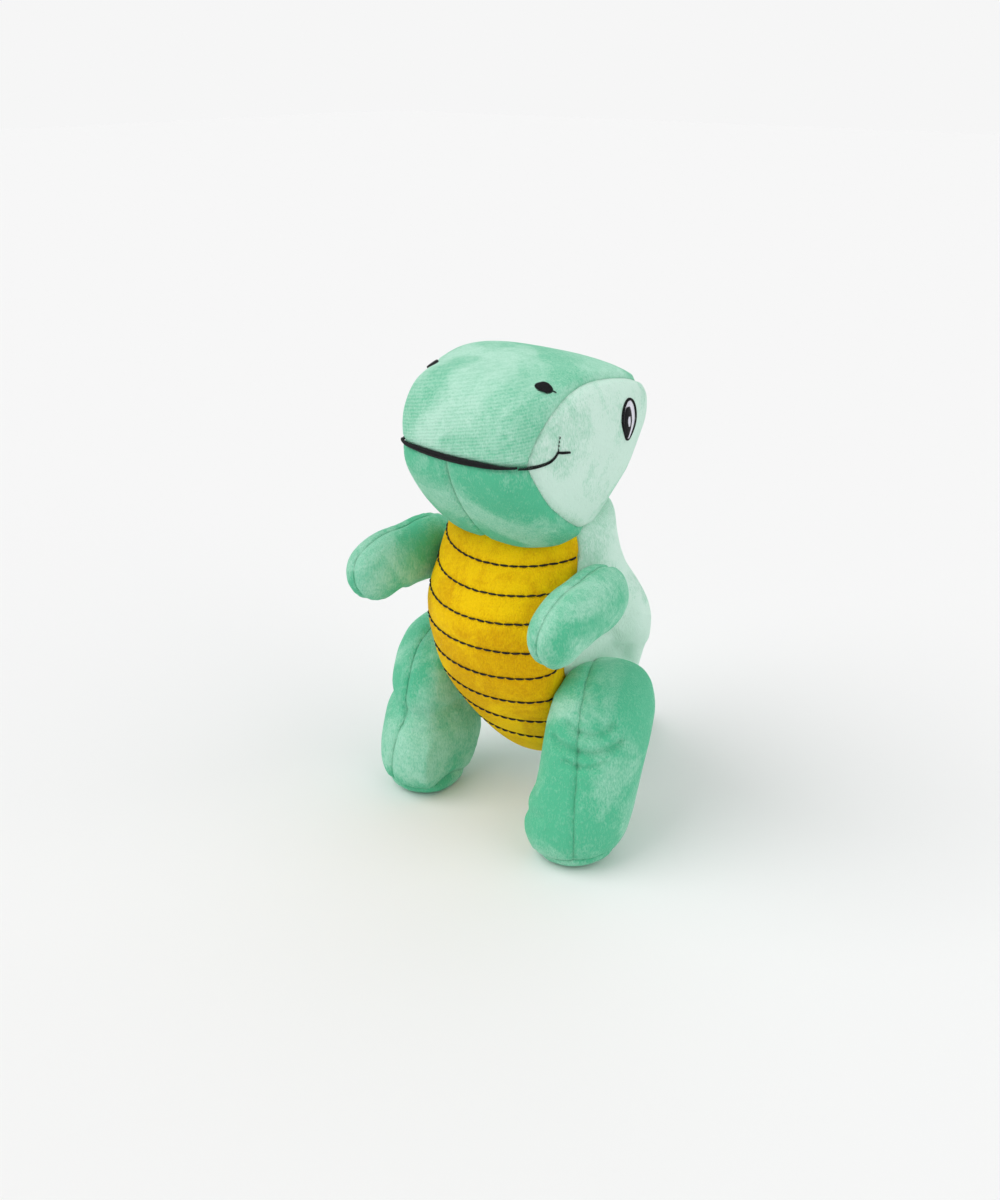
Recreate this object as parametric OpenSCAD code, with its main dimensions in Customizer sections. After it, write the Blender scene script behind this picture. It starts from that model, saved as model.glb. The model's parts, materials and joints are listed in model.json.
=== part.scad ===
// Stuffed dinosaur: pile fabric panels sewn over fibre stuffing, with embroidered face and belly.
// Millimetres. +Z up, the face looks towards -Y, +X is the dinosaur's own left.
// The origin is on the floor, under the middle of the whole toy.

/* [Fabric] */
// Thickness of the pile fabric
fabric_t = 1.4; // [1:0.1:2]
// Free space between the two sides of a moving seam
seam_gap = 0.5; // [0.4:0.1:1]

/* [Torso] */
// Height of the neck seam at its middle
neck_z = 165; // [137.5:0.5:198]
// Height of the lowest point of the belly
belly_z = 26; // [21:1:31]
// Widest part of the belly, side to side
belly_w = 112; // [93:1:135]
// Deepest part of the belly, front to back
belly_d = 105; // [88:1:126]
// Width of the neck seam
neck_w = 84; // [70:1:92]
// Depth of the neck seam, front to back
neck_d = 68; // [58:1:80]
// Slope of the neck seam, higher at the back
neck_tilt = 6; // [0:0.5:9]
// Half angle of the yellow belly panel, from straight ahead
panel_angle = 66; // [55:1:78]

/* [Head] */
// Length of the head, muzzle to nape
head_len = 116; // [97:1:139]
// Widest part of the head, at the eyes
head_w = 106; // [92:1:124]
// Height of the crown above the neck seam
head_h = 88; // [74:1:105]
// Width of the muzzle at the corners of the mouth
muzzle_w = 72; // [60:1:86]
// Height of the mouth above the neck seam
mouth_h = 47; // [40:1:54]
// How far the muzzle reaches in front of the neck seam's middle
muzzle_reach = 66; // [56:1:79]

/* [Arms] */
// Length of an arm, back of the shoulder to the tip of the hand
arm_len = 73; // [61:1:88]
// Height of an arm
arm_h = 36; // [30:1:43]
// Thickness of an arm
arm_t = 25; // [20:1:30]
// How far the shoulder lies below the neck seam
shoulder_drop = 25; // [20:1:32]
// Distance of the flat shoulder seam from the middle
shoulder_x = 44; // [40:1:48]
// How far the hand stands further out than the shoulder
arm_splay = 5; // [0:1:12]

/* [Legs] */
// Width of a leg, side to side
leg_w = 57; // [48:1:66]
// Depth of a leg, front to back
leg_d = 58; // [49:1:70]
// Height of the top of the thigh
thigh_z = 99; // [90:1:108]
// Distance of a foot's middle from the middle of the toy
foot_x = 52; // [48:1:60]
// Distance of the flat hip seam from the middle
hip_x = 36; // [33:1:38]
// How far the foot stands in front of the hip
foot_reach = 20; // [14:1:26]

/* [Tail] */
// Length of the tail, from its seam to the tip
tail_len = 55; // [46:1:66]
// Width of the tail at its seam
tail_w = 48; // [40:1:56]
// Height of the middle of the tail's seam
tail_z = 50; // [44:1:56]

/* [Embroidery] */
// Thickness of the embroidery thread
thread_t = 0.9; // [0.6:0.1:1.4]
// Height of an eye
eye_h = 19; // [15:0.5:23]
// Width of an eye
eye_w = 12; // [9:0.5:15]
// Length of a nostril
nostril_w = 10; // [8:1:12]
// Width of the mouth line at its middle
mouth_w = 3.6; // [2.4:0.2:5]
// Width of a row of belly stitches
stitch_w = 1.2; // [0.8:0.1:1.8]

/* [Joints] */
// How far the head nods down
nod_down = 6; // [3:1:8]
// How far the head tips back
nod_up = 12; // [6:1:14]
// How far the tail wags to each side
wag = 12; // [6:1:15]

/* [Hidden] */
STITCH_ROWS = 8;

MINT = "#7fd4ae";
YELLOW = "#ffc800";
BLACK = "#15151a";
WHITE = "#eeeef6";
FIBRE = "#f2f0ea";

// Places of the joints, before the whole toy is centred over its origin
neck_y = -15;
shoulder_y = -32;
hip_y = -26;
hip_z = thigh_z - leg_d / 2;
shoulder_z = neck_z - shoulder_drop;
tail_y = 38;
arm_back_y = shoulder_y + 0.44 * arm_h;
arm_tip_y = arm_back_y - arm_len;
tail_tip_y = tail_y + seam_gap + tail_len;
muzzle_y = neck_y - muzzle_reach;
nape_y = muzzle_y + head_len;
middle_y = (min(arm_tip_y, muzzle_y) + tail_tip_y) / 2;

// ---- Curves and grids ----

// A smooth curve through the rows of a table, read at row x
function curve(rows, x) =
    let (
        last = len(rows) - 1,
        i = max(0, min(floor(x), last - 1)),
        f = x - i,
        a = rows[max(i - 1, 0)],
        b = rows[i],
        c = rows[i + 1],
        d = rows[min(i + 2, last)]
    )
    b + 0.5 * f * (c - a + f * (2 * a - 5 * b + 4 * c - d + f * (3 * (b - c) + d - a)));

function mix(a, b, f) = a + (b - a) * f;
function clamp(x, low, high) = max(low, min(high, x));
function unit(v) = v / max(norm(v), 1e-9);

// Rounded-box outline: 2 is an ellipse, more is boxier
function boxy(s, power) = sign(s) * pow(abs(s), 2 / power);

// The two triangles of one grid cell, without the ones that have no area
function cell(p, a, b, c, d, flip) =
    [
        for (t = [[a, b, c], [a, c, d]])
            if (norm(cross(p[t[1]] - p[t[0]], p[t[2]] - p[t[0]])) > 1e-7)
                flip ? [t[2], t[1], t[0]] : t
    ];

// A closed solid from a form of rings and columns whose first and last rings are single points
module closed_form(form, rings, columns, flip = false) {
    points = [for (i = [0 : rings]) for (j = [0 : columns - 1]) form(i, j)];
    faces = [
        for (i = [0 : rings - 1]) for (j = [0 : columns - 1])
            let (k = (j + 1) % columns, r = i * columns, s = r + columns)
            each cell(points, r + j, r + k, s + k, s + j, flip)
    ];
    polyhedron(points, faces, convexity = 6);
}

// A sheet of fabric between rings i0 to i1 and columns j0 to j1 of a form. outer and inner give
// its two sides. A sheet that goes all the way round is closed on itself.
module sheet(outer, inner, i0, i1, j0, j1, flip = false, closed = false) {
    w = j1 - j0 + 1;
    n = (i1 - i0 + 1) * w;
    points = [
        for (side = [outer, inner]) for (i = [i0 : i1]) for (j = [j0 : j1]) side(i, j)
    ];
    function at(i, j) = (i - i0) * w + j - j0;
    faces = [
        for (i = [i0 : i1 - 1]) for (j = [j0 : j1 - 1])
            let (a = at(i, j), b = at(i, j + 1), c = at(i + 1, j + 1), d = at(i + 1, j))
            each concat(cell(points, a, b, c, d, flip),
                cell(points, n + a, n + b, n + c, n + d, !flip)),
        for (j = [j0 : j1 - 1]) each concat(
            cell(points, at(i0, j), n + at(i0, j), n + at(i0, j + 1), at(i0, j + 1), flip),
            cell(points, at(i1, j + 1), n + at(i1, j + 1), n + at(i1, j), at(i1, j), flip)),
        if (!closed) for (i = [i0 : i1 - 1]) each concat(
            cell(points, at(i + 1, j0), n + at(i + 1, j0), n + at(i, j0), at(i, j0), flip),
            cell(points, at(i, j1), n + at(i, j1), n + at(i + 1, j1), at(i + 1, j1), flip))
    ];
    polyhedron(points, faces, convexity = 6);
}

// ---- Embroidery laid on a form ----

// Frame of a form at (u, v): place, unit step along u, unit step along v, outward
STEP = 0.02;
function frame_at(form, u, v) =
    let (
        p = form(u, v),
        pu = form(u + STEP, v) - form(u - STEP, v),
        pv = form(u, v + STEP) - form(u, v - STEP)
    )
    [p, unit(pu), unit(pv), unit(cross(pu, pv))];

// A place (along, across) millimetres from (u, v), as grid coordinates
function around(form, u, v, along, across) =
    let (
        mu = norm(form(u + STEP, v) - form(u - STEP, v)) / (2 * STEP),
        mv = norm(form(u, v + STEP) - form(u, v - STEP)) / (2 * STEP)
    )
    [u + along / mu, v + across / mv];

// A flat patch with a closed outline of [along, across] points about (u, v)
module patch(form, u, v, outline, low, high) {
    shares = [0.34, 0.7, 1];
    n = len(outline);
    m = len(shares);
    function spot(q, lift) =
        let (g = around(form, u, v, q[0], q[1]), f = frame_at(form, g[0], g[1]))
        f[0] + lift * f[3];
    points = [
        for (lift = [low, high]) each concat([spot([0, 0], lift)],
            [for (s = shares) for (q = outline) spot(s * q, lift)])
    ];
    size = 1 + m * n;
    function id(k, r, j) = k * size + 1 + r * n + j % n;
    faces = [
        for (j = [0 : n - 1]) each [
            [0, id(0, 0, j + 1), id(0, 0, j)],
            [size, id(1, 0, j), id(1, 0, j + 1)]
        ],
        for (r = [0 : m - 2]) for (j = [0 : n - 1]) each [
            [id(0, r, j), id(0, r, j + 1), id(0, r + 1, j + 1)],
            [id(0, r, j), id(0, r + 1, j + 1), id(0, r + 1, j)],
            [id(1, r, j), id(1, r + 1, j + 1), id(1, r, j + 1)],
            [id(1, r, j), id(1, r + 1, j), id(1, r + 1, j + 1)]
        ],
        for (j = [0 : n - 1]) each [
            [id(0, m - 1, j), id(0, m - 1, j + 1), id(1, m - 1, j + 1)],
            [id(0, m - 1, j), id(1, m - 1, j + 1), id(1, m - 1, j)]
        ]
    ];
    polyhedron(points, faces, convexity = 4);
}

// A cord of thread along a list of [u, v] places, with a width at each place
module thread_line(form, route, widths, low, high) {
    n = len(route);
    frames = [for (q = route) frame_at(form, q[0], q[1])];
    ways = [for (k = [0 : n - 1]) unit(frames[min(k + 1, n - 1)][0] - frames[max(k - 1, 0)][0])];
    points = [
        for (k = [0 : n - 1])
            let (p = frames[k][0], up = frames[k][3], side = unit(cross(up, ways[k])), w = widths[k] / 2)
            each [p - w * side + low * up, p + w * side + low * up,
                p + 0.6 * w * side + high * up, p - 0.6 * w * side + high * up]
    ];
    faces = [
        [0, 1, 2, 3],
        [4 * n - 1, 4 * n - 2, 4 * n - 3, 4 * n - 4],
        for (k = [0 : n - 2]) for (s = [0 : 3])
            let (a = 4 * k + s, b = 4 * k + (s + 1) % 4)
            each [[b, a, a + 4], [b, a + 4, b + 4]]
    ];
    polyhedron(points, faces, convexity = 4);
}

// ---- Torso ----
TORSO_RINGS = 15;
TORSO_COLUMNS = 32;
PANEL_COLUMNS = 6;

torso_h = neck_z - belly_z;
// Height, half width, half depth, middle front to back
torso_rows = [
    [belly_z, 0, 0, -4],
    [belly_z + 0.02 * torso_h, 0.14 * belly_w, 0.14 * belly_d, -4],
    [belly_z + 0.08 * torso_h, 0.25 * belly_w, 0.25 * belly_d, -4],
    [belly_z + 0.18 * torso_h, 0.36 * belly_w, 0.36 * belly_d, -4],
    [belly_z + 0.31 * torso_h, 0.455 * belly_w, 0.46 * belly_d, -6],
    [belly_z + 0.45 * torso_h, 0.50 * belly_w, 0.51 * belly_d, -11],
    [belly_z + 0.60 * torso_h, mix(neck_w, belly_w, 0.94) / 2, mix(neck_d, belly_d, 1.03) / 2, -17],
    [belly_z + 0.75 * torso_h, mix(neck_w, belly_w, 0.70) / 2, mix(neck_d, belly_d, 0.86) / 2, -21],
    [belly_z + 0.88 * torso_h, mix(neck_w, belly_w, 0.36) / 2, mix(neck_d, belly_d, 0.42) / 2, -20],
    [neck_z, neck_w / 2, neck_d / 2, neck_y]
];

// Ground that a swinging limb sweeps: distance outside a disc with a fan hanging from it
FAN_FRONT = 1.0;
FAN_BACK = 0.1;
function outside_disc(y, z, cy, cz, radius) = max(0, norm([y - cy, z - cz]) - radius);
function outside_fan(y, z, cy, cz, radius) =
    z > cz ? outside_disc(y, z, cy, cz, radius)
        : max(0, y - cy - radius - FAN_BACK * (cz - z), cy - radius - FAN_FRONT * (cz - z) - y);

// Half width that the torso may have at (y, z), beside the arms and legs
HIP_MARGIN = 11;
SHOULDER_MARGIN = 11;
TAIL_MARGIN = 8;
function side_limit(y, z) = min(
    hip_x + 1.2 * outside_fan(y, z, hip_y, hip_z, leg_d / 2 + HIP_MARGIN),
    shoulder_x + 1.2 * outside_disc(y, z, shoulder_y, shoulder_z, arm_h / 2 + SHOULDER_MARGIN));
// Furthest back that the torso may reach at (x, z), above the tail
function back_limit(x, z) = tail_y + 1.0 * outside_disc(x, z, 0, tail_z, tail_w / 2 + TAIL_MARGIN);

// Room under the head, for its nod about the neck seam's middle
NOD_SPARE = 0.6;
function nod_room(y) = seam_gap + (y < neck_y ? (neck_y - y) * tan(nod_down + NOD_SPARE)
    : (y - neck_y) * tan(nod_up + NOD_SPARE));

// Angle of a column about the torso, with whole columns on the edges of the belly panel
function torso_angle(j) =
    let (half = TORSO_COLUMNS / 2, k = j > half ? j - TORSO_COLUMNS : j, n = abs(k))
    sign(k) * (n <= PANEL_COLUMNS ? panel_angle * n / PANEL_COLUMNS
        : mix(panel_angle, 180, (n - PANEL_COLUMNS) / (half - PANEL_COLUMNS)));

function torso_point(i, j, inset) =
    let (
        row = curve(torso_rows, clamp(i, 0, TORSO_RINGS) / TORSO_RINGS * (len(torso_rows) - 1)),
        v = torso_angle(j),
        wide = max(row[1] - inset, 0),
        deep = max(row[2] - inset, 0),
        x = wide * sin(v),
        y0 = row[3] - deep * cos(v),
        lift = pow((row[0] - belly_z) / torso_h, 4),
        z = row[0] + inset * (1 - lift)
            * (i < 1 ? 1 : max(0, 1 - i / 5))
            + lift * ((y0 - neck_y) * tan(neck_tilt) - nod_room(y0)),
        y = min(y0, back_limit(x, z) - inset),
        side = side_limit(y, z) - inset
    )
    [clamp(x, -side, side), y, z];

function torso_core(i, j) = i > TORSO_RINGS ? [0, neck_y, neck_z - seam_gap]
    : torso_point(i, j, fabric_t);

module torso_stuffing() {
    color(FIBRE) closed_form(function(i, j) torso_core(i, j), TORSO_RINGS + 1, TORSO_COLUMNS, true);
}

module torso_sheet(j0, j1) {
    sheet(function(i, j) torso_point(i, j, 0), function(i, j) torso_point(i, j, fabric_t),
        0, TORSO_RINGS, j0, j1, true);
}

module belly_panel() {
    color(YELLOW) torso_sheet(-PANEL_COLUMNS, PANEL_COLUMNS);
}

module back_left_panel() {
    color(MINT) torso_sheet(PANEL_COLUMNS, TORSO_COLUMNS / 2);
}

module back_right_panel() {
    color(MINT) torso_sheet(TORSO_COLUMNS / 2, TORSO_COLUMNS - PANEL_COLUMNS);
}

// Rows of stitches across the belly, lowest in the middle
STITCH_FIRST = 5.2;
STITCH_PITCH = 1.34;
STITCH_DROP = 0.12;
STITCH_STEPS = 12;
STITCH_LIFT = 0.4;
STITCH_HIGH = 0.8;
// Columns that a row reaches to each side: it stops short of the flat that the limbs swing on
STITCH_MARGIN = 2.5;
function row_reach(ring) = max([
    for (share = [0.5 : 0.02 : 0.96])
        let (p = torso_point(ring, share * PANEL_COLUMNS, 0))
        if (share == 0.5 || p[0] < side_limit(p[1], p[2]) - STITCH_MARGIN) share
]) * PANEL_COLUMNS;

module belly_stitch(n) {
    form = function(u, v) torso_point(u, -v, 0);
    ring = STITCH_FIRST + STITCH_PITCH * (STITCH_ROWS - n);
    reach = row_reach(ring);
    route = [
        for (k = [0 : STITCH_STEPS])
            let (s = 2 * k / STITCH_STEPS - 1)
            [ring - STITCH_DROP * (1 - s * s), reach * s]
    ];
    color(BLACK) thread_line(form, route, [for (q = route) stitch_w],
        STITCH_LIFT, STITCH_LIFT + STITCH_HIGH);
}

// Hand-sewn seam that closes the stuffing opening, low on the back
module closing_stitch() {
    form = function(u, v) torso_point(u, -v, 0);
    route = [for (k = [0 : 8]) [9.4 + 0.42 * k, -TORSO_COLUMNS / 2 + 0.12 * (k % 2 == 0 ? 1 : -1)]];
    color(MINT) thread_line(form, route, [for (q = route) stitch_w],
        STITCH_LIFT, STITCH_LIFT + STITCH_HIGH);
}

// ---- Head ----
HEAD_RINGS = 20;
HEAD_COLUMNS = 32;
JAW_COLUMNS = 6;
CHEEK_COLUMNS = 4;
CORNER_RING = 4;

mouth_z = neck_z + mouth_h;
crown_z = neck_z + head_h;
// Half width, top, bottom, height of the widest part, boxiness above and below it, from muzzle
// to nape in equal turns
head_rows = [
    [0, mouth_z, mouth_z, mouth_z, 3.6, 3.2],
    [0.42 * muzzle_w, mouth_z + 0.23 * head_h, mouth_z - 0.17 * head_h, mouth_z, 3.6, 3.2],
    [0.53 * muzzle_w, mouth_z + 0.38 * head_h, mouth_z - 0.37 * head_h, mouth_z, 3.6, 3.2],
    [0.42 * head_w, crown_z - 0.05 * head_h, neck_z - 0.03 * head_h, mouth_z + 2, 3.4, 2.9],
    [0.47 * head_w, crown_z, neck_z - 0.20 * head_h, mouth_z + 6, 3.1, 2.3],
    [0.495 * head_w, crown_z - 0.03 * head_h, neck_z - 0.18 * head_h, mouth_z + 12, 3, 1.9],
    [0.465 * head_w, crown_z - 0.10 * head_h, neck_z - 0.02 * head_h, mouth_z + 14, 3, 1.8],
    [0.38 * head_w, crown_z - 0.20 * head_h, neck_z + 0.25 * head_h, mouth_z + 12, 2.8, 1.8],
    [0.21 * head_w, crown_z - 0.34 * head_h, neck_z + 0.42 * head_h, mouth_z + 6, 2.4, 2],
    [0, mouth_z + 3, mouth_z + 3, mouth_z + 3, 2, 2]
];
// Angle of the seam under each cheek, and of the seam over it, from muzzle to nape
MOUTH_ANGLE = 90;
seam_rows = [
    [MOUTH_ANGLE, MOUTH_ANGLE],
    [MOUTH_ANGLE, MOUTH_ANGLE],
    [70, 112],
    [58, 131],
    [47, 130],
    [40, 127],
    [36, 126],
    [34, 130],
    [34, 138],
    [34, 145]
];

function head_angle(i, j) =
    let (
        half = HEAD_COLUMNS / 2,
        k = j > half ? j - HEAD_COLUMNS : j,
        n = abs(k),
        behind = max(0, (i - CORNER_RING) / (HEAD_RINGS - CORNER_RING)),
        seams = curve(seam_rows, 1 + behind * (len(seam_rows) - 2)),
        top_start = JAW_COLUMNS + CHEEK_COLUMNS
    )
    sign(k) * (n <= JAW_COLUMNS ? seams[0] * n / JAW_COLUMNS
        : n <= top_start ? mix(seams[0], seams[1], (n - JAW_COLUMNS) / CHEEK_COLUMNS)
        : mix(seams[1], 180, (n - top_start) / (half - top_start)));

function neck_plane(y) = neck_z + (y - neck_y) * tan(neck_tilt);

function head_point(i, j, inset) =
    let (
        turn = 180 * clamp(i, 0, HEAD_RINGS) / HEAD_RINGS,
        row = curve(head_rows, turn / 180 * (len(head_rows) - 1)),
        y = mix(muzzle_y + inset, nape_y - inset, (1 - cos(turn)) / 2),
        v = head_angle(i, j),
        up = cos(v) < 0,
        power = up ? row[4] : row[5],
        tall = max((up ? row[1] - row[3] : row[3] - row[2]) - inset, 0),
        x = max(row[0] - inset, 0) * boxy(sin(v), power),
        z = row[3] - tall * boxy(cos(v), power)
    )
    [x, y, max(z, neck_plane(y) + inset)];

module head_stuffing() {
    color(FIBRE) closed_form(function(i, j) head_point(i, j, fabric_t), HEAD_RINGS, HEAD_COLUMNS);
}

module head_sheet(i0, j0, j1) {
    sheet(function(i, j) head_point(i, j, 0), function(i, j) head_point(i, j, fabric_t),
        i0, HEAD_RINGS, j0, j1);
}

module jaw_left_panel() {
    color(MINT) head_sheet(0, 0, JAW_COLUMNS);
}

module jaw_right_panel() {
    color(MINT) head_sheet(0, -JAW_COLUMNS, 0);
}

module cheek_left_panel() {
    color(MINT) head_sheet(CORNER_RING, JAW_COLUMNS, JAW_COLUMNS + CHEEK_COLUMNS);
}

module cheek_right_panel() {
    color(MINT) head_sheet(CORNER_RING, -JAW_COLUMNS - CHEEK_COLUMNS, -JAW_COLUMNS);
}

module head_top_panel() {
    top_start = JAW_COLUMNS + CHEEK_COLUMNS;
    color(MINT) head_sheet(0, top_start, HEAD_COLUMNS - top_start);
}

// The face is worked on a copy of the head's form whose second number is the angle itself
function face_point(i, v) =
    let (
        turn = 180 * clamp(i, 0, HEAD_RINGS) / HEAD_RINGS,
        row = curve(head_rows, turn / 180 * (len(head_rows) - 1)),
        y = mix(muzzle_y, nape_y, (1 - cos(turn)) / 2),
        up = cos(v) < 0,
        power = up ? row[4] : row[5],
        tall = up ? row[1] - row[3] : row[3] - row[2]
    )
    [row[0] * boxy(sin(v), power), y, row[3] - tall * boxy(cos(v), power)];

// Space between the cloth and the thread on it
LIFT = 0.15;
// Mouth: from corner to corner along the seam, thick in front and thin at the corners
MOUTH_STEPS = 22;
module mouth_line() {
    route = [
        for (k = [0 : MOUTH_STEPS])
            let (s = 2 * k / MOUTH_STEPS - 1)
            [max(0.35, abs(s) * CORNER_RING), s < 0 ? -MOUTH_ANGLE : MOUTH_ANGLE]
    ];
    widths = [
        for (k = [0 : MOUTH_STEPS])
            let (s = 2 * k / MOUTH_STEPS - 1)
            mix(mouth_w, 0.9, pow(abs(s), 3))
    ];
    color(BLACK) thread_line(function(u, v) face_point(u, v), route, widths, LIFT, LIFT + thread_t);
}

// Smile: from the corner of the mouth back along the cheek, with an upturned end
smile_route = [
    [4.1, 90], [4.7, 89.8], [5.4, 89.7], [6, 90], [6.4, 90.8], [6.6, 92], [7.1, 91.6], [7.7, 91.4]
];
module smile() {
    color(BLACK) thread_line(function(u, v) face_point(u, v), smile_route,
        [for (q = smile_route) 1.6], LIFT, LIFT + thread_t);
}

NOSTRIL_RING = 6.6;
NOSTRIL_ANGLE = 141;
module nostril() {
    outline = [for (a = [0 : 30 : 330]) [nostril_w * 0.33 * cos(a), -nostril_w / 2 * sin(a)]];
    color(BLACK) patch(function(u, v) face_point(u, v), NOSTRIL_RING, NOSTRIL_ANGLE, outline,
        LIFT, LIFT + thread_t);
}

EYE_RING = 11.3;
EYE_ANGLE = 95;
EYE_SIDES = 20;
HIGHLIGHT_SIDES = 12;
// Teardrop outline, pointed at the bottom, of a given share of the eye
function teardrop(share, sides) = [
    for (k = [0 : sides - 1])
        let (a = 360 * k / sides, narrow = 1 - 0.35 * max(0, -sin(a)))
        [-share * eye_w / 2 * cos(a) * narrow, share * eye_h / 2 * sin(a)]
];

// One layer of thread, counted up from the cloth, with a little space under it
LAYER_SPACE = 0.12;
module eye_layer(number, share, shift = [0, 0]) {
    layer = thread_t / 3;
    low = LIFT + number * (layer + LAYER_SPACE);
    outline = [for (q = teardrop(share, EYE_SIDES)) q + shift];
    patch(function(u, v) face_point(u, v), EYE_RING, EYE_ANGLE, outline, low, low + layer);
}

// The small light on the pupil: one plump flat spot of thread
module eye_highlight() {
    form = function(u, v) face_point(u, v);
    g = around(form, EYE_RING, EYE_ANGLE, -0.12 * eye_w, 0);
    f = frame_at(form, g[0], g[1]);
    low = f[0] + (LIFT + thread_t + 3 * LAYER_SPACE) * f[3];
    across = cross(f[3], f[1]);
    multmatrix([for (k = [0 : 2]) [f[1][k], across[k], f[3][k], low[k]]])
        linear_extrude(thread_t * 2 / 3) polygon(teardrop(0.22, HIGHLIGHT_SIDES));
}

module eye(part) {
    if (part == "outline") color(BLACK) eye_layer(0, 1);
    if (part == "white") color(WHITE) eye_layer(1, 0.86);
    if (part == "pupil") color(BLACK) eye_layer(2, 0.62, [-0.1 * eye_w, -0.05 * eye_h]);
    if (part == "highlight") color(WHITE) eye_highlight();
}

// ---- Arms (the left one; the right one is its mirror image) ----
ARM_RINGS = 12;
ARM_COLUMNS = 16;
// Distance from the tip, height of the middle, half height, half thickness, way out of the splay
arm_rows = [
    [0, 3, 0, 0, 1],
    [0.02, 3, 0.24, 0.26, 1],
    [0.09, 2, 0.38, 0.40, 0.95],
    [0.20, 0, 0.48, 0.50, 0.85],
    [0.34, -1, 0.50, 0.52, 0.6],
    [0.50, 0, 0.47, 0.52, 0.35],
    [0.66, 1, 0.50, 0.50, 0.15],
    [0.80, 0, 0.50, 0.46, 0],
    [0.92, 0, 0.40, 0.40, 0],
    [0.98, 0, 0.22, 0.26, 0],
    [1, 0, 0, 0, 0]
];

function arm_point(i, j, inset) =
    let (
        row = curve(arm_rows, clamp(i, 0, ARM_RINGS) / ARM_RINGS * (len(arm_rows) - 1)),
        v = 360 * j / ARM_COLUMNS,
        y = mix(arm_tip_y + inset, arm_back_y - inset, row[0]),
        x = shoulder_x + 0.42 * arm_t + arm_splay * row[4]
            + max(row[3] * arm_t - inset, 0) * sin(v),
        z = shoulder_z + row[1] - max(row[2] * arm_h - inset, 0) * cos(v)
    )
    [max(x, shoulder_x + seam_gap + inset), y, z];

module arm_stuffing() {
    color(FIBRE) closed_form(function(i, j) arm_point(i, j, fabric_t), ARM_RINGS, ARM_COLUMNS);
}

module arm_sheet(j0, j1) {
    color(MINT) sheet(function(i, j) arm_point(i, j, 0), function(i, j) arm_point(i, j, fabric_t),
        0, ARM_RINGS, j0, j1);
}

module arm_outer_panel() {
    arm_sheet(0, ARM_COLUMNS / 2);
}

module arm_inner_panel() {
    arm_sheet(ARM_COLUMNS / 2, ARM_COLUMNS);
}

// ---- Legs (the left one; the right one is its mirror image) ----
LEG_RINGS = 13;
LEG_COLUMNS = 20;
SOLE_RINGS = 3;
// Height, half width, half depth, way from the foot to the hip
leg_rows = [
    [0, 0, 0, 0],
    [0, 0.18, 0.18, 0],
    [0.02, 0.31, 0.31, 0],
    [0.09, 0.43, 0.43, 0.04],
    [0.19, 0.485, 0.485, 0.14],
    [0.32, 0.50, 0.50, 0.32],
    [0.46, 0.50, 0.50, 0.54],
    [0.60, 0.51, 0.51, 0.76],
    [0.73, 0.51, 0.52, 0.94],
    [0.86, 0.45, 0.46, 1.04],
    [0.95, 0.31, 0.32, 1.04],
    [0.99, 0.14, 0.14, 1],
    [1, 0, 0, 1]
];
// Inner side of the leg: flat against the hip above, free below
HIP_FREE_Z = 16;
HIP_FLAT_Z = 37;
function leg_inner(z) = mix(hip_x + seam_gap, foot_x - leg_w / 2,
    clamp((HIP_FLAT_Z - z) / (HIP_FLAT_Z - HIP_FREE_Z), 0, 1));

function leg_point(i, j, inset) =
    let (
        row = curve(leg_rows, clamp(i, 0, LEG_RINGS) / LEG_RINGS * (len(leg_rows) - 1)),
        v = 360 * j / LEG_COLUMNS,
        z = max(mix(inset, thigh_z - inset, row[0]), inset),
        y = hip_y - foot_reach * (1 - row[3]) - max(row[2] * leg_d - inset, 0) * cos(v),
        x = foot_x - 1.5 * row[3] + max(row[1] * leg_w - inset, 0) * sin(v)
    )
    [max(x, leg_inner(z) + inset), y, z];

module leg_stuffing() {
    color(FIBRE) closed_form(function(i, j) leg_point(i, j, fabric_t), LEG_RINGS, LEG_COLUMNS, true);
}

module leg_sheet(i0, i1, j0, j1) {
    color(MINT) sheet(function(i, j) leg_point(i, j, 0), function(i, j) leg_point(i, j, fabric_t),
        i0, i1, j0, j1, true, j1 - j0 == LEG_COLUMNS);
}

module leg_outer_panel() {
    leg_sheet(SOLE_RINGS, LEG_RINGS, 0, LEG_COLUMNS / 2);
}

module leg_inner_panel() {
    leg_sheet(SOLE_RINGS, LEG_RINGS, LEG_COLUMNS / 2, LEG_COLUMNS);
}

module leg_sole() {
    leg_sheet(0, SOLE_RINGS, 0, LEG_COLUMNS);
}

// ---- Tail ----
TAIL_RINGS = 9;
TAIL_COLUMNS = 16;
// Distance from the seam, height of the middle as a share of tail_z, half width as a share of tail_w
tail_rows = [
    [0, 1, 0.50],
    [0.16, 0.84, 0.475],
    [0.32, 0.66, 0.44],
    [0.48, 0.49, 0.395],
    [0.64, 0.34, 0.34],
    [0.78, 0.23, 0.28],
    [0.90, 0.17, 0.20],
    [0.98, 0.15, 0.09],
    [1, 0.15, 0]
];

// The first ring is the middle of the seam; the seam's edge is cut back so that the tail can wag
function tail_point(i, j, inset) =
    let (
        k = clamp(i - 1, 0, TAIL_RINGS - 1),
        row = curve(tail_rows, k / (TAIL_RINGS - 1) * (len(tail_rows) - 1)),
        v = 360 * j / TAIL_COLUMNS,
        radius = i < 1 ? 0 : max(row[2] * tail_w - inset, 0),
        x = radius * sin(v),
        z = row[1] * tail_z - radius * cos(v),
        cut = abs(x) * tan(wag + 2) * (1 - row[0]),
        y = mix(tail_y + seam_gap + inset, tail_tip_y - inset, row[0]) + cut
    )
    [x, y, max(z, inset)];

module tail_stuffing() {
    color(FIBRE) closed_form(function(i, j) tail_point(i, j, fabric_t), TAIL_RINGS, TAIL_COLUMNS);
}

module tail_sheet(j0, j1) {
    color(MINT) sheet(function(i, j) tail_point(i, j, 0), function(i, j) tail_point(i, j, fabric_t),
        0, TAIL_RINGS, j0, j1);
}

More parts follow.
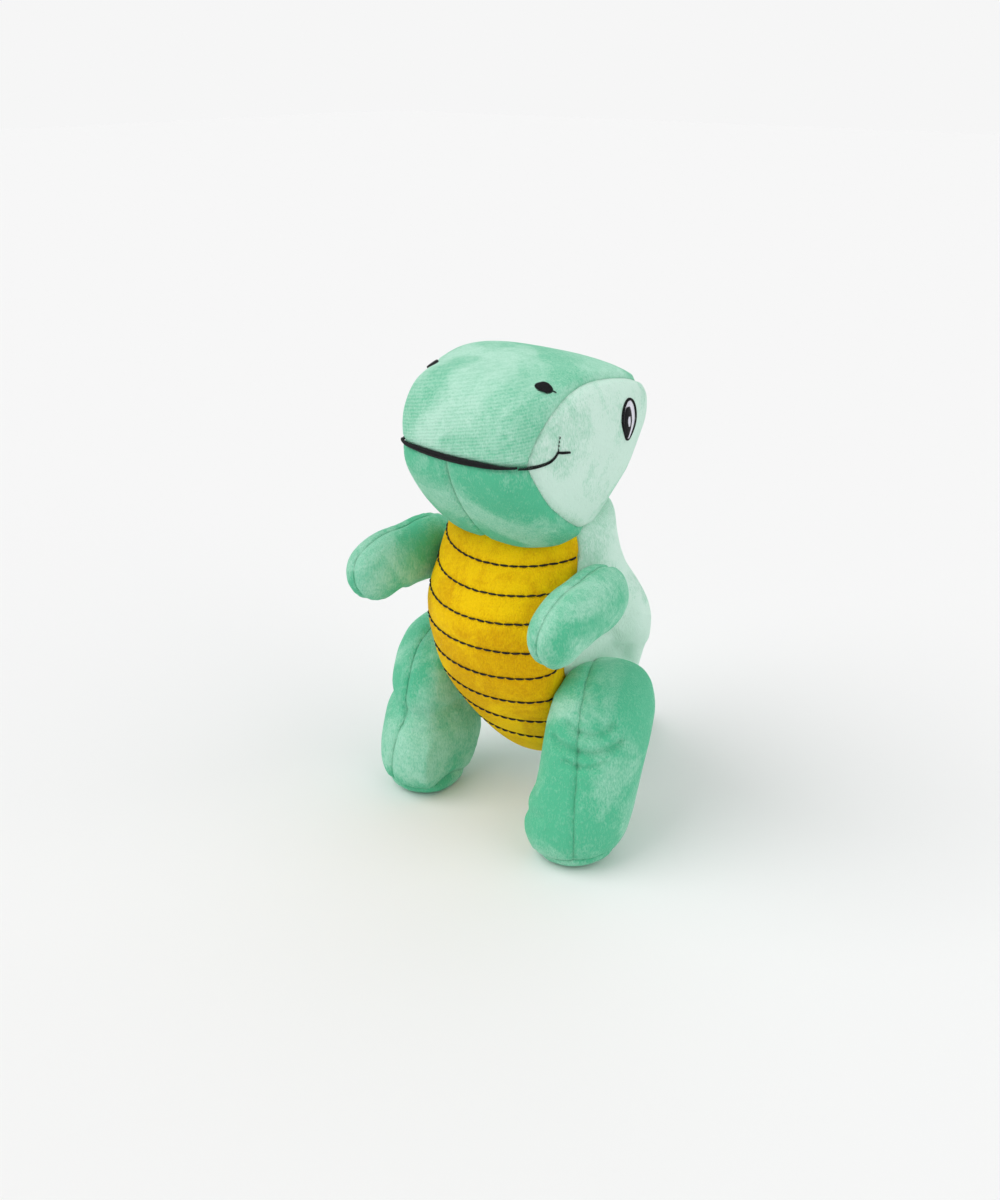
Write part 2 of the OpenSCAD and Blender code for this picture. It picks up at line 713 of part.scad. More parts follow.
module tail_left_panel() {
    tail_sheet(0, TAIL_COLUMNS / 2);
}

module tail_right_panel() {
    tail_sheet(TAIL_COLUMNS / 2, TAIL_COLUMNS);
}

// ---- Every sub-part in its place ----
module placed(right = false) {
    translate([0, -middle_y, 0]) mirror([right ? 1 : 0, 0, 0]) children();
}

placed() torso_stuffing();
placed() belly_panel();
placed() back_left_panel();
placed() back_right_panel();
placed() closing_stitch();
for (n = [1 : STITCH_ROWS])
    placed() belly_stitch(n);
placed() head_stuffing();
placed() head_top_panel();
placed() cheek_left_panel();
placed() cheek_right_panel();
placed() jaw_left_panel();
placed() jaw_right_panel();
placed() mouth_line();
for (s = ["left", "right"]) {
    right = s == "right";
    placed(right) smile();
    placed(right) nostril();
    for (p = ["outline", "white", "pupil", "highlight"])
        placed(right) eye(p);
    placed(right) arm_stuffing();
    placed(right) arm_inner_panel();
    placed(right) arm_outer_panel();
    placed(right) leg_stuffing();
    placed(right) leg_inner_panel();
    placed(right) leg_outer_panel();
    placed(right) leg_sole();
}
placed() tail_stuffing();
placed() tail_left_panel();
placed() tail_right_panel();
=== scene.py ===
# %% [markdown]
# # A stuffed dinosaur
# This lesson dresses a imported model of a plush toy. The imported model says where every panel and
# every row of thread lies, so nothing here is measured again.
# The toy is cut from pile cloth, sewn inside out, turned and filled with loose fibre. We follow
# the same order: fill the forms, sew the seams, cut the panels, embroider the face.

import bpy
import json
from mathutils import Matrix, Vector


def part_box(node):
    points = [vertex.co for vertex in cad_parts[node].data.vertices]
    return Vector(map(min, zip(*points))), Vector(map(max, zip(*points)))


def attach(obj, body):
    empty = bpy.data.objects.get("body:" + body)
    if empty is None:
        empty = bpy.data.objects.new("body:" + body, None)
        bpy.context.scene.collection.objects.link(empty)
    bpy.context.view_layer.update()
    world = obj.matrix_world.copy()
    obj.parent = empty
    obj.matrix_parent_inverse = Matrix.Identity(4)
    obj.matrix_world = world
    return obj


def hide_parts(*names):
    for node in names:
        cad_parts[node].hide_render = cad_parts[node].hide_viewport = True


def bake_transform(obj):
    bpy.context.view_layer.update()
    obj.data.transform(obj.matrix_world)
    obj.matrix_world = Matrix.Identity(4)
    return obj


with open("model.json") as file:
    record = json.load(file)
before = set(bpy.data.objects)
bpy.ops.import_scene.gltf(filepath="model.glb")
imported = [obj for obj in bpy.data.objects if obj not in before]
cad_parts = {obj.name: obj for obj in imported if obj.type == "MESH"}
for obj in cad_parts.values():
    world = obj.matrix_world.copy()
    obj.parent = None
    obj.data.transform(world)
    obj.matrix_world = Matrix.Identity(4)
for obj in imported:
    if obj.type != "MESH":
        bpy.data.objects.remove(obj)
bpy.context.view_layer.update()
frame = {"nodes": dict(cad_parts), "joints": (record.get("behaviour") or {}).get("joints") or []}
print("packed nodes:", len(frame["nodes"]))

# %% Helpers that the whole lesson uses
import json
import math

import bmesh
import bpy
from mathutils import Matrix, Vector, kdtree, noise
from mathutils.bvhtree import BVHTree

MM = 0.001
scene = bpy.context.scene


def joint_place(name):
    """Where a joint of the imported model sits."""
    found = [joint for joint in frame["joints"] if joint["name"] == name]
    return Vector(found[0]["pos_m"])


def smooth_step(low, high, value):
    """0 below low, 1 above high, and a smooth slope between."""
    share = min(1.0, max(0.0, (value - low) / (high - low)))
    return share * share * (3 - 2 * share)


neck = joint_place("head_nod")
hip = joint_place("leg_left_swing")
shoulder = joint_place("arm_left_swing")
tail_root = joint_place("tail_wag")
print("neck seam at", [round(c / MM) for c in neck], "mm")

# %% [markdown]
# ## The camera and the light
# A product shot has one large soft lamp in front and above, a weaker one to open the shadows,
# and a pale floor that runs back past the view. The camera stands at the toy's front left,
# a little above it.

# %% Set up the camera
AIM = Vector((0.006, -0.0522, 0.131))
CAMERA_TURN = math.radians(40)
CAMERA_RISE = math.radians(24.6)
CAMERA_DISTANCE = 0.600
way_out = Vector((
    math.sin(CAMERA_TURN) * math.cos(CAMERA_RISE),
    -math.cos(CAMERA_TURN) * math.cos(CAMERA_RISE),
    math.sin(CAMERA_RISE),
))
camera_data = bpy.data.cameras.new("camera")
camera_data.lens = 36.06
camera_data.sensor_width = 36
camera_data.clip_start = 0.01
camera = bpy.data.objects.new("camera", camera_data)
camera.location = AIM + CAMERA_DISTANCE * way_out
camera.rotation_euler = way_out.to_track_quat("Z", "Y").to_euler()
scene.collection.objects.link(camera)
scene.camera = camera
print("camera", [round(c, 3) for c in camera.location])


# %% Light the set
BACKDROP = 0.922
AMBIENT = 0.50


def soft_sun(name, way, strength, spread, colour=(1, 1, 1)):
    """A wide soft light that comes from the direction way."""
    data = bpy.data.lights.new(name, "SUN")
    data.angle = math.radians(spread)
    data.energy = strength
    data.color = colour
    lamp = bpy.data.objects.new(name, data)
    lamp.location = AIM + 0.8 * Vector(way)
    lamp.rotation_euler = Vector(way).to_track_quat("Z", "Y").to_euler()
    scene.collection.objects.link(lamp)


soft_sun("key_light", (-0.55, -0.75, 1.15), 1.45, 50)
soft_sun("side_light", (1.0, 0.25, 0.75), 0.75, 60)
soft_sun("back_light", (-0.3, 1.0, 0.7), 0.35, 70)
world = bpy.data.worlds.new("studio")
world.use_nodes = True
sky = world.node_tree
seen = sky.nodes.new("ShaderNodeLightPath")
strength = sky.nodes.new("ShaderNodeMapRange")
strength.inputs["To Min"].default_value = AMBIENT
strength.inputs["To Max"].default_value = BACKDROP
sky.links.new(seen.outputs["Is Camera Ray"], strength.inputs["Value"])
sky.nodes["Background"].inputs["Color"].default_value = (1, 1, 1, 1)
sky.links.new(strength.outputs["Result"], sky.nodes["Background"].inputs["Strength"])
scene.world = world
scene.view_settings.view_transform = "Standard"

# %% Lay the floor
FLOOR_SIZE = 12.0
floor_bm = bmesh.new()
bmesh.ops.create_grid(floor_bm, x_segments=4, y_segments=4, size=FLOOR_SIZE / 2)
floor_mesh = bpy.data.meshes.new("floor")
floor_bm.to_mesh(floor_mesh)
floor_bm.free()
floor = bpy.data.objects.new("floor", floor_mesh)
scene.collection.objects.link(floor)
floor_paint = bpy.data.materials.new("floor paint")
floor_paint.use_nodes = True
floor_shader = floor_paint.node_tree.nodes["Principled BSDF"]
floor_shader.inputs["Base Color"].default_value = (0.876, 0.876, 0.876, 1)
floor_shader.inputs["Roughness"].default_value = 1.0
floor_shader.inputs["Specular IOR Level"].default_value = 0.0
floor_mesh.materials.append(floor_paint)

# %% [markdown]
# ## The parts of the toy
# Each stuffed part is a closed bag of several panels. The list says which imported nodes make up
# each bag, and how far its panels bulge between their seams.

# %% List the bags
BAGS = {
    "torso": ("torso_stuffing", ["belly_panel", "back_left_panel", "back_right_panel"]),
    "head": ("head_stuffing", ["head_top_panel", "cheek_left_panel", "cheek_right_panel",
                               "jaw_left_panel", "jaw_right_panel"]),
    "arm_left": ("arm_left_stuffing", ["arm_left_inner_panel", "arm_left_outer_panel"]),
    "arm_right": ("arm_right_stuffing", ["arm_right_inner_panel", "arm_right_outer_panel"]),
    "leg_left": ("leg_left_stuffing",
                 ["leg_left_inner_panel", "leg_left_outer_panel", "leg_left_sole"]),
    "leg_right": ("leg_right_stuffing",
                  ["leg_right_inner_panel", "leg_right_outer_panel", "leg_right_sole"]),
    "tail": ("tail_stuffing", ["tail_left_panel", "tail_right_panel"]),
}
BULGE = {"torso": 4.5, "head": 4.0, "arm_left": 3.5, "arm_right": 3.5,
         "leg_left": 4.0, "leg_right": 4.0, "tail": 3.5}
WEAVE_STEP = 2.6 * MM
CLOTH_THICK = 1.2 * MM
PLUMP = 2.0 * MM
print("bags", len(BAGS), "panels", sum(len(bag[1]) for bag in BAGS.values()))


# %% Make a bag from a filling
def bag_from(node, name):
    """An even quad skin over a packed filling."""
    bm = bmesh.new()
    bm.from_mesh(frame["nodes"][node].data)
    bmesh.ops.remove_doubles(bm, verts=bm.verts, dist=0.01 * MM)
    mesh = bpy.data.meshes.new(name)
    bm.to_mesh(mesh)
    bm.free()
    bag = bpy.data.objects.new(name, mesh)
    scene.collection.objects.link(bag)
    remesh = bag.modifiers.new("even", "REMESH")
    remesh.mode = "VOXEL"
    remesh.voxel_size = WEAVE_STEP
    relax = bag.modifiers.new("relax", "SMOOTH")
    relax.factor = 0.5
    relax.iterations = 6
    settle(bag)
    for vertex, out in [(v, v.normal.copy()) for v in bag.data.vertices]:
        vertex.co += PLUMP * out
    return bag


def settle(piece):
    """Makes the piece's modifiers part of its mesh."""
    bpy.context.view_layer.update()
    seen = piece.evaluated_get(bpy.context.evaluated_depsgraph_get())
    mesh = bpy.data.meshes.new_from_object(seen)
    piece.modifiers.clear()
    piece.data = mesh


bags = {body: bag_from(node, body + "_bag") for body, (node, _) in BAGS.items()}
print("skin faces", {body: len(bag.data.polygons) for body, bag in bags.items()})

# %% [markdown]
# ## Closing the gaps at the moving seams
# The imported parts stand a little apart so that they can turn. On the sewn toy they share a seam,
# so the top of the torso reaches up into the head, and the tail's root into the back. The packed
# torso is cut back where the legs swing, so its haunches and the tops of the legs are filled out.

# %% Reach into the neighbour
NECK_REACH = 7 * MM
for vertex in bags["torso"].data.vertices:
    rise = smooth_step(neck.z - 24 * MM, neck.z - 3 * MM, vertex.co.z + 0.16 * abs(vertex.co.y - neck.y))
    room = abs(vertex.co.y - neck.y) * (0.115 if vertex.co.y < neck.y else 0.22)
    vertex.co.z += rise * (room + NECK_REACH)
HAUNCH = 9 * MM
HAUNCH_HEIGHT = 116 * MM
HAUNCH_REACH = 28 * MM
for vertex in bags["torso"].data.vertices:
    share = smooth_step(10 * MM, 42 * MM, abs(vertex.co.x))
    share *= smooth_step(-36 * MM, 8 * MM, vertex.co.y)
    share *= math.exp(-((vertex.co.z - HAUNCH_HEIGHT) / HAUNCH_REACH) ** 2)
    vertex.co += HAUNCH * share * Vector((math.copysign(0.77, vertex.co.x), 0.64, 0))
TAIL_REACH = 5 * MM
ROOT_SINK = 1.5 * MM
THIGH_OUT, THIGH_BACK, THIGH_UP = 3 * MM, 6 * MM, 4 * MM
for vertex in bags["tail"].data.vertices:
    near = 1 - smooth_step(tail_root.y, tail_root.y + 16 * MM, vertex.co.y)
    vertex.co.y -= near * (TAIL_REACH + 0.25 * abs(vertex.co.x))
for body, root in (("arm", shoulder), ("leg", hip)):
    for side, sign in (("left", 1), ("right", -1)):
        for vertex in bags[body + "_" + side].data.vertices:
            if body == "leg":
                share = smooth_step(56 * MM, 88 * MM, vertex.co.z)
                share *= smooth_step(-22 * MM, 12 * MM, vertex.co.y)
                vertex.co += share * Vector((sign * THIGH_OUT, THIGH_BACK, THIGH_UP))
            vertex.co.x = sign * max(sign * vertex.co.x, root.x - ROOT_SINK)
print("moving seams closed")

# %% [markdown]
# ## Marking the panels
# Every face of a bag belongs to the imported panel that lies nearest. Between two panels runs a
# seam. On the even grid the seam is a staircase, so its points are eased into a smooth line
# before anything is filled.


# %% Mark and ease the seams
def panel_trees(names):
    """One search tree for each packed panel."""
    trees = []
    for name in names:
        bm = bmesh.new()
        bm.from_mesh(frame["nodes"][name].data)
        trees.append(BVHTree.FromBMesh(bm))
        bm.free()
    return trees


def mark_panels(bag, names, twist):
    """Gives each face the number of its panel, with the seams turned by some degrees."""
    trees = panel_trees(names)
    bm = bmesh.new()
    bm.from_mesh(bag.data)
    middle = sum((vertex.co for vertex in bm.verts), Vector()) / len(bm.verts)
    back = Matrix.Rotation(math.radians(-twist), 3, "Z")
    for face in bm.faces:
        spot = middle + back @ (face.calc_center_median() - middle)
        gaps = [tree.find_nearest(spot)[3] for tree in trees]
        face.material_index = gaps.index(min(gaps))
    tidy_labels(bm)
    ease_seams(bm, 40)
    bm.to_mesh(bag.data)
    bm.free()


def ease_seams(bm, rounds):
    """Draws every seam into a smooth line on the cloth, and evens the faces beside it."""
    own = BVHTree.FromBMesh(bm)
    sewn = {vertex for vertex in bm.verts if any(on_seam(edge) for edge in vertex.link_edges)}
    for _ in range(rounds):
        moves = {}
        for vertex in sewn:
            mates = [edge.other_vert(vertex) for edge in vertex.link_edges if on_seam(edge)]
            if len(mates) in (2, 4):
                middle = sum((mate.co for mate in mates), Vector()) / len(mates)
                moves[vertex] = vertex.co.lerp(middle, 0.5)
        for vertex, place in moves.items():
            vertex.co = own.find_nearest(place)[0]
    near = {mate for vertex in sewn for face in vertex.link_faces for mate in face.verts}
    near |= {mate for vertex in near for face in vertex.link_faces for mate in face.verts}
    for _ in range(12):
        bmesh.ops.smooth_vert(bm, verts=list(near - sewn), factor=0.5, use_axis_x=True,
                              use_axis_y=True, use_axis_z=True)
        for vertex in near - sewn:
            vertex.co = own.find_nearest(vertex.co)[0]


def on_seam(edge):
    """True where the faces on the two sides belong to different panels."""
    return len(edge.link_faces) == 2 and (
        edge.link_faces[0].material_index != edge.link_faces[1].material_index)


def tidy_labels(bm):
    """Gives a face that three or more neighbours disagree with to those neighbours."""
    for _ in range(3):
        for face in bm.faces:
            around = [other.material_index for edge in face.edges for other in edge.link_faces
                      if other is not face]
            for label in set(around):
                if label != face.material_index and around.count(label) >= 3:
                    face.material_index = label


# The seam down the front of a standing leg turns outwards with the knee
SEAM_TURN = {"leg_left": 26, "leg_right": -6}
for body, (_, panels) in BAGS.items():
    mark_panels(bags[body], panels, SEAM_TURN.get(body, 0))
print("seams marked")

# %% [markdown]
# ## Filling the bags
# Fibre pushes the cloth out everywhere, but a seam holds it in. Blender's cloth does just that:
# pressure inside, seams pinned, no gravity. Each point may move only a few millimetres, because
# the toy keeps its size.


# %% Fill with cloth simulation
FILL_FRAMES = 18
PRESSURE = 5.0


def pin_seams(bag):
    """A vertex group that holds the seams of a bag where they are."""
    pins = bag.vertex_groups.new(name="sewn")
    bm = bmesh.new()
    bm.from_mesh(bag.data)
    held = [v.index for v in bm.verts if any(on_seam(edge) for edge in v.link_edges)]
    bm.free()
    pins.add(held, 1.0, "REPLACE")


def fill(bag):
    """Adds a cloth that swells under pressure."""
    pin_seams(bag)
    cloth = bag.modifiers.new("filling", "CLOTH")
    cloth.settings.quality = 6
    cloth.settings.mass = 0.25
    cloth.settings.tension_stiffness = 12
    cloth.settings.compression_stiffness = 12
    cloth.settings.shear_stiffness = 6
    cloth.settings.bending_stiffness = 0.6
    cloth.settings.use_pressure = True
    cloth.settings.uniform_pressure_force = PRESSURE
    cloth.settings.vertex_group_mass = "sewn"
    cloth.settings.effector_weights.gravity = 0
    cloth.point_cache.frame_start = 1
    cloth.point_cache.frame_end = FILL_FRAMES


def cap_motion(bag, before, reach):
    """Keeps every point within reach of where it was, and above the floor."""
    for vertex, start in zip(bag.data.vertices, before):
        move = vertex.co - start
        if move.length > 1e-9:
            move *= reach * math.tanh(move.length / reach) / move.length
        vertex.co = start + move
        vertex.co.z = max(vertex.co.z, 0.0)


before = {body: [v.co.copy() for v in bag.data.vertices] for body, bag in bags.items()}
for bag in bags.values():
    fill(bag)
scene.frame_end = FILL_FRAMES
for step in range(1, FILL_FRAMES + 1):
    scene.frame_set(step)
for bag in bags.values():
    settle(bag)
scene.frame_set(1)
for body, bag in bags.items():
    cap_motion(bag, before[body], BULGE[body] * MM)


def stand(bag):
    """Brings the lowest cloth of a bag down to the floor, and flattens it there."""
    lowest = min(vertex.co.z for vertex in bag.data.vertices)
    for vertex in bag.data.vertices:
        near = 1 - smooth_step(0, 24 * MM, vertex.co.z)
        vertex.co.z = max(0.0, vertex.co.z - near * (lowest + 1.0 * MM))


for body in ("leg_left", "leg_right", "tail"):
    stand(bags[body])
swell = max((v.co - s).length for v, s in zip(bags["torso"].data.vertices, before["torso"]))
print("torso cloth moved up to", round(swell / MM, 1), "mm")

# %% [markdown]
# ## Fine cloth
# One round of subdivision gives the cloth enough points to carry seams, puckers and creases.


# %% Refine the bags
def refine(bag, levels):
    """Subdivides a bag, and draws its seams smooth once more."""
    finer = bag.modifiers.new("finer", "SUBSURF")
    finer.levels = levels
    finer.render_levels = levels
    settle(bag)
    bm = bmesh.new()
    bm.from_mesh(bag.data)
    ease_seams(bm, 24)
    bm.to_mesh(bag.data)
    bm.free()


for bag in bags.values():
    bag.vertex_groups.clear()
    refine(bag, 1)
print("fine faces", {body: len(bag.data.polygons) for body, bag in bags.items()})


# %% Keep the shape of the face
def tree_of_bag(bag):
    """A search tree over the faces of a bag."""
    bm = bmesh.new()
    bm.from_mesh(bag.data)
    tree = BVHTree.FromBMesh(bm)
    bm.free()
    return tree


def eased_tree(bag, rounds):
    """A search tree over a smoothed copy of a bag, for pieces that bridge its seams."""
    bm = bmesh.new()
    bm.from_mesh(bag.data)
    for _ in range(rounds):
        bmesh.ops.smooth_vert(bm, verts=bm.verts, factor=0.5, use_axis_x=True, use_axis_y=True,
                              use_axis_z=True)
    tree = BVHTree.FromBMesh(bm)
    bm.free()
    return tree


face_tree = eased_tree(bags["head"], 6)


# %% [markdown]
# ## Seams, puckers and creases
# A seam sinks below the cloth on both sides, and the thread gathers the cloth into short
# puckers that run away from it. A crease is a line pressed into the filled form.


# %% Press the seams
def seam_points(bag):
    """Points along every seam of a bag, close together."""
    bm = bmesh.new()
    bm.from_mesh(bag.data)
    points = []
    for edge in bm.edges:
        if on_seam(edge):
            a, b = edge.verts[0].co, edge.verts[1].co
            points += [a.copy(), a.lerp(b, 0.5)]
    bm.free()
    return points


def tree_of(points):
    """A search tree over a list of points."""
    tree = kdtree.KDTree(len(points))
    for number, point in enumerate(points):
        tree.insert(point, number)
    tree.balance()
    return tree


def press(bag, points, depth, width, pucker=0.0, reach=9.0, pitch=3.2):
    """Sinks the cloth along points, in millimetres, with puckers that run away from them."""
    tree = tree_of(points)
    moves = []
    for vertex in bag.data.vertices:
        spot, _, gap = tree.find(vertex.co)
        far = gap / MM
        sink = -depth * math.exp(-(far / width) ** 2)
        if pucker and far < reach:
            ripple = noise.noise(spot / (pitch * MM))
            fade = smooth_step(1.0, 3.5, far) * (1 - smooth_step(0.4 * reach, reach, far))
            sink += pucker * ripple * fade
        moves.append(sink * MM * vertex.normal)
    for vertex, move in zip(bag.data.vertices, moves):
        vertex.co += move
        vertex.co.z = max(vertex.co.z, 0.0)


SEAM_DEPTH = {"torso": 1.3, "head": 1.5, "tail": 1.2}
for body, bag in bags.items():
    press(bag, seam_points(bag), SEAM_DEPTH.get(body, 1.4), 1.9, 0.35)
print("seams pressed")

# %% [markdown]
# ## Creases from standing
# A filled leg folds a little where it bends. Each crease is a short line over the form: we look
# from the middle of the part towards the side where the crease is, and press where the line
# of sight meets the cloth. The muzzle is gathered above the mouth, and each hand droops a little
# past a notch under its palm.


# %% Press the creases
def around_bag(tree, middle, height, turn):
    """Where a level look from the middle, turned from straight ahead, meets the cloth."""
    start = Vector((middle.x, middle.y, height))
    way = Vector((math.sin(math.radians(turn)), -math.cos(math.radians(turn)), 0))
    spot, normal, face, _ = tree.ray_cast(start, way)
    return spot, normal, face


def crease(body, turns, heights, depth, width):
    """Presses a curved line across the turns, through three heights, in millimetres."""
    bag = bags[body]
    low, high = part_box(BAGS[body][0])
    middle = (low + high) / 2
    tree = tree_of_bag(bag)
    points = []
    steps = 24
    for step in range(steps + 1):
        share = step / steps
        bow = 4 * share * (1 - share)
        height = heights[0] * (1 - share) + heights[2] * share
        height += bow * (heights[1] - (heights[0] + heights[2]) / 2)
        turn = turns[0] * (1 - share) + turns[1] * share
        spot = around_bag(tree, middle, height * MM, turn)[0]
        if spot:
            points.append(spot)
    press(bag, points, depth, width)


# Each crease: its leg, the turns of its ends, its height at the start, middle and end, depth, width
KNEE_CREASES = [
    ("leg_left", (2, 66), (79, 75, 80), 2.6, 2.2),
    ("leg_left", (-14, 74), (70, 66, 71), 3.2, 2.4),
    ("leg_left", (8, 54), (61, 59, 63), 2.0, 2.0),
    ("leg_left", (-48, -8), (30, 27, 29), 1.4, 3.4),
    ("leg_right", (-80, 84), (56, 50, 53), 3.2, 5.0),
    ("leg_right", (-20, 66), (46, 42, 45), 1.4, 3.0),
]
for knee in KNEE_CREASES:
    crease(*knee)
print("creases", len(KNEE_CREASES))

# %% Gather the muzzle
GATHER_DEPTH = 0.9 * MM
GATHERS_PER_TURN = 9
mouth_low, mouth_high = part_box("mouth_line")
mouth_height = (mouth_low.z + mouth_high.z) / 2
for vertex in bags["head"].data.vertices:
    rise = vertex.co.z - mouth_height
    share = smooth_step(1 * MM, 5 * MM, rise) * (1 - smooth_step(6 * MM, 18 * MM, rise))
    share *= 1 - smooth_step(mouth_high.y - 8 * MM, mouth_high.y + 4 * MM, vertex.co.y)
    turn = math.atan2(vertex.co.x, mouth_high.y - vertex.co.y)
    wave = noise.noise(Vector((GATHERS_PER_TURN * turn, 0.3, 0.7)))
    vertex.co += vertex.normal * (GATHER_DEPTH * share * wave)
print("muzzle gathered")

# %% Shape the hands
HAND_DROOP = 5 * MM
HAND_LONG = 28 * MM
PALM_BACK = 24 * MM
PALM_UNDER = 2 * MM
NOTCH_SLANT = 0.5 * MM
for side in ("left", "right"):
    arm = bags["arm_" + side]
    low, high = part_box("arm_" + side + "_stuffing")
    for vertex in arm.data.vertices:
        vertex.co.z -= HAND_DROOP * (1 - smooth_step(low.y, low.y + HAND_LONG, vertex.co.y))
    notch = [Vector((low.x + (high.x - low.x) * k / 12,
                     low.y + PALM_BACK + NOTCH_SLANT * k / 12,
                     low.z - PALM_UNDER)) for k in range(13)]
    press(arm, notch, 4.5, 4.5)
print("hands shaped")

# %% [markdown]
# ## Rows of stitches on the belly
# Eight rows of running stitch cross the belly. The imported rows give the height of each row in
# the middle and at its ends. The thread pulls the pile down, so every row lies in a shallow
# channel, and the stitches themselves are plump strands that dive into the cloth at both ends.


# %% Follow the rows
BELLY_ROWS = 8
ROW_STEPS = 160
torso_low, torso_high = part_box("torso_stuffing")
belly_middle = Vector((0, (torso_low.y + torso_high.y) / 2, 0))


def row_heights(number):
    """The height of a packed row in the middle, at its end, and the turn of that end."""
    points = [v.co for v in frame["nodes"]["belly_stitch_" + str(number)].data.vertices]
    end = max(points, key=lambda p: p.x)
    inner = [p.z for p in points if abs(p.x) < 4 * MM]
    turn = math.degrees(math.atan2(end.x, belly_middle.y - end.y))
    return sum(inner) / len(inner), end.z, turn


def row_route(number, tree):
    """Points of a row on the cloth, from seam to seam of the belly panel."""
    middle_z, end_z, end_turn = row_heights(number)
    route = []
    for step in range(ROW_STEPS + 1):
        turn = (2 * step / ROW_STEPS - 1) * 80
        share = abs(turn) / end_turn
        rise = share ** 2 if share < 1 else 1 + 0.5 * (share - 1)
        height = middle_z + (end_z - middle_z) * rise
        spot, normal, face = around_bag(tree, belly_middle, height, turn)
        if spot and bags["torso"].data.polygons[face].material_index == 0:
            route.append((spot, normal))
    return route


torso_tree = tree_of_bag(bags["torso"])
channels = [spot for n in range(1, BELLY_ROWS + 1) for spot, _ in row_route(n, torso_tree)]
press(bags["torso"], channels, 0.7, 1.7, 0.25, 6.0, 4.0)
torso_tree = tree_of_bag(bags["torso"])
print("row points", len(channels))

# %% [markdown]
# ## Cutting the panels
# Each panel becomes a piece of its own with the thickness of pile cloth, and stands for its
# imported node. The filling is a piece too: it lies just under the cloth.

# %% Cut the bags into panels
pieces = {}


def cut_panel(bag, number, name):
    """The faces of one panel as a piece with thickness."""
    bm = bmesh.new()
    bm.from_mesh(bag.data)
    extra = [face for face in bm.faces if face.material_index != number]
    bmesh.ops.delete(bm, geom=extra, context="FACES")
    rim = [edge.link_loops[0] for edge in bm.edges if edge.is_boundary]
    rim = [(loop.vert, loop.link_loop_next.vert) for loop in rim]
    outside = bm.verts[:]
    lining = bmesh.ops.duplicate(bm, geom=bm.verts[:] + bm.edges[:] + bm.faces[:])
    inside = {vert: lining["vert_map"][vert] for vert in outside}
    for vert, twin in inside.items():
        twin.co = vert.co - vert.normal * CLOTH_THICK
    back = [item for item in lining["geom"] if isinstance(item, bmesh.types.BMFace)]
    bmesh.ops.reverse_faces(bm, faces=back)
    for first, second in rim:
        bm.faces.new((second, first, inside[first], inside[second]))
    for face in bm.faces:
        face.material_index = 0
        face.smooth = True
    mesh = bpy.data.meshes.new(name)
    bm.to_mesh(mesh)
    bm.free()
    piece = bpy.data.objects.new(name, mesh)
    scene.collection.objects.link(piece)
    return piece


for body, (_, panels) in BAGS.items():
    for number, node in enumerate(panels):
        pieces[node] = cut_panel(bags[body], number, node + "_cloth")
        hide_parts(node)
print("panels", {name: len(piece.data.polygons) for name, piece in pieces.items()})

# %% [markdown]
# ## Thread
# Embroidery is many short strands lying side by side. Each strand is one spline of a curve with
# a round section, thin at both ends where it enters the cloth. All strands of a piece are made
# into one mesh.


# %% Make strands
def thread_piece(name, strands, thick):
    """A mesh of strands. Each strand is a list of places with a share of the thickness."""
    curve = bpy.data.curves.new(name, "CURVE")
    curve.dimensions = "3D"
    curve.bevel_depth = thick / 2
    curve.bevel_resolution = 1
    curve.use_fill_caps = True
    for strand in strands:
        spline = curve.splines.new("POLY")
        spline.points.add(len(strand) - 1)
        for point, (place, share) in zip(spline.points, strand):
            point.co = (*place, 1)
            point.radius = share
    loose = bpy.data.objects.new(name + "_curve", curve)
    scene.collection.objects.link(loose)
    bpy.context.view_layer.update()
    mesh = bpy.data.meshes.new_from_object(loose.evaluated_get(bpy.context.evaluated_depsgraph_get()))
    bpy.data.objects.remove(loose)
    mesh.name = name
    for face in mesh.polygons:
        face.use_smooth = True
    piece = bpy.data.objects.new(name, mesh)
    scene.collection.objects.link(piece)
    pieces[name] = piece
    return piece


def arched(points, normals, lift, sink):
    """A strand over a few points: up in the middle, into the cloth at both ends."""
    last = len(points) - 1
    strand = []
    for number, (point, normal) in enumerate(zip(points, normals)):
        share = number / last
        arch = math.sin(math.pi * share) ** 0.5 if 0 < share < 1 else 0.0
        strand.append((point + normal * (lift * arch - sink * (1 - arch)), 0.55 + 0.45 * arch))
    return strand


# %% Stitch the belly rows
STITCH_LONG = 4.7 * MM
STITCH_GAP = 0.2 * MM
STITCH_THICK = 1.05 * MM


def point_along(route, lengths, far):
    """The place and normal at a distance along a route."""
    for number in range(1, len(lengths)):
        if lengths[number] >= far:
            share = (far - lengths[number - 1]) / max(lengths[number] - lengths[number - 1], 1e-9)
            return (route[number - 1][0].lerp(route[number][0], share),
                    route[number - 1][1].lerp(route[number][1], share).normalized())
    return route[-1]


def route_lengths(route):
    """Distance along a route at each of its points."""
    lengths = [0.0]
    for (a, _), (b, _) in zip(route, route[1:]):
        lengths.append(lengths[-1] + (b - a).length)
    return lengths


def running_stitches(route, long, gap, phase=0.0, sway=0.0):
    """Strands of running stitch along a route."""
    lengths = route_lengths(route)
    strands = []
    start = phase
    while start + long < lengths[-1]:
        samples = [point_along(route, lengths, start + long * k / 6) for k in range(7)]
        tilt = sway * noise.noise(samples[3][0] / MM * 0.7)
        points = [p + Vector((0, 0, tilt * (k / 6 - 0.5))) for k, (p, _) in enumerate(samples)]
        strands.append(arched(points, [n for _, n in samples], 0.45 * MM, 0.22 * MM))
        start += long + gap
    return strands


for number in range(1, BELLY_ROWS + 1):
    route = row_route(number, torso_tree)
    node = "belly_stitch_" + str(number)
    strands = running_stitches(route, STITCH_LONG, STITCH_GAP, 0.4 * MM, 0.9 * MM)
    row = thread_piece(node + "_thread", strands, STITCH_THICK)
    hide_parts(node)
print("belly rows", BELLY_ROWS, "last row strands", len(strands))

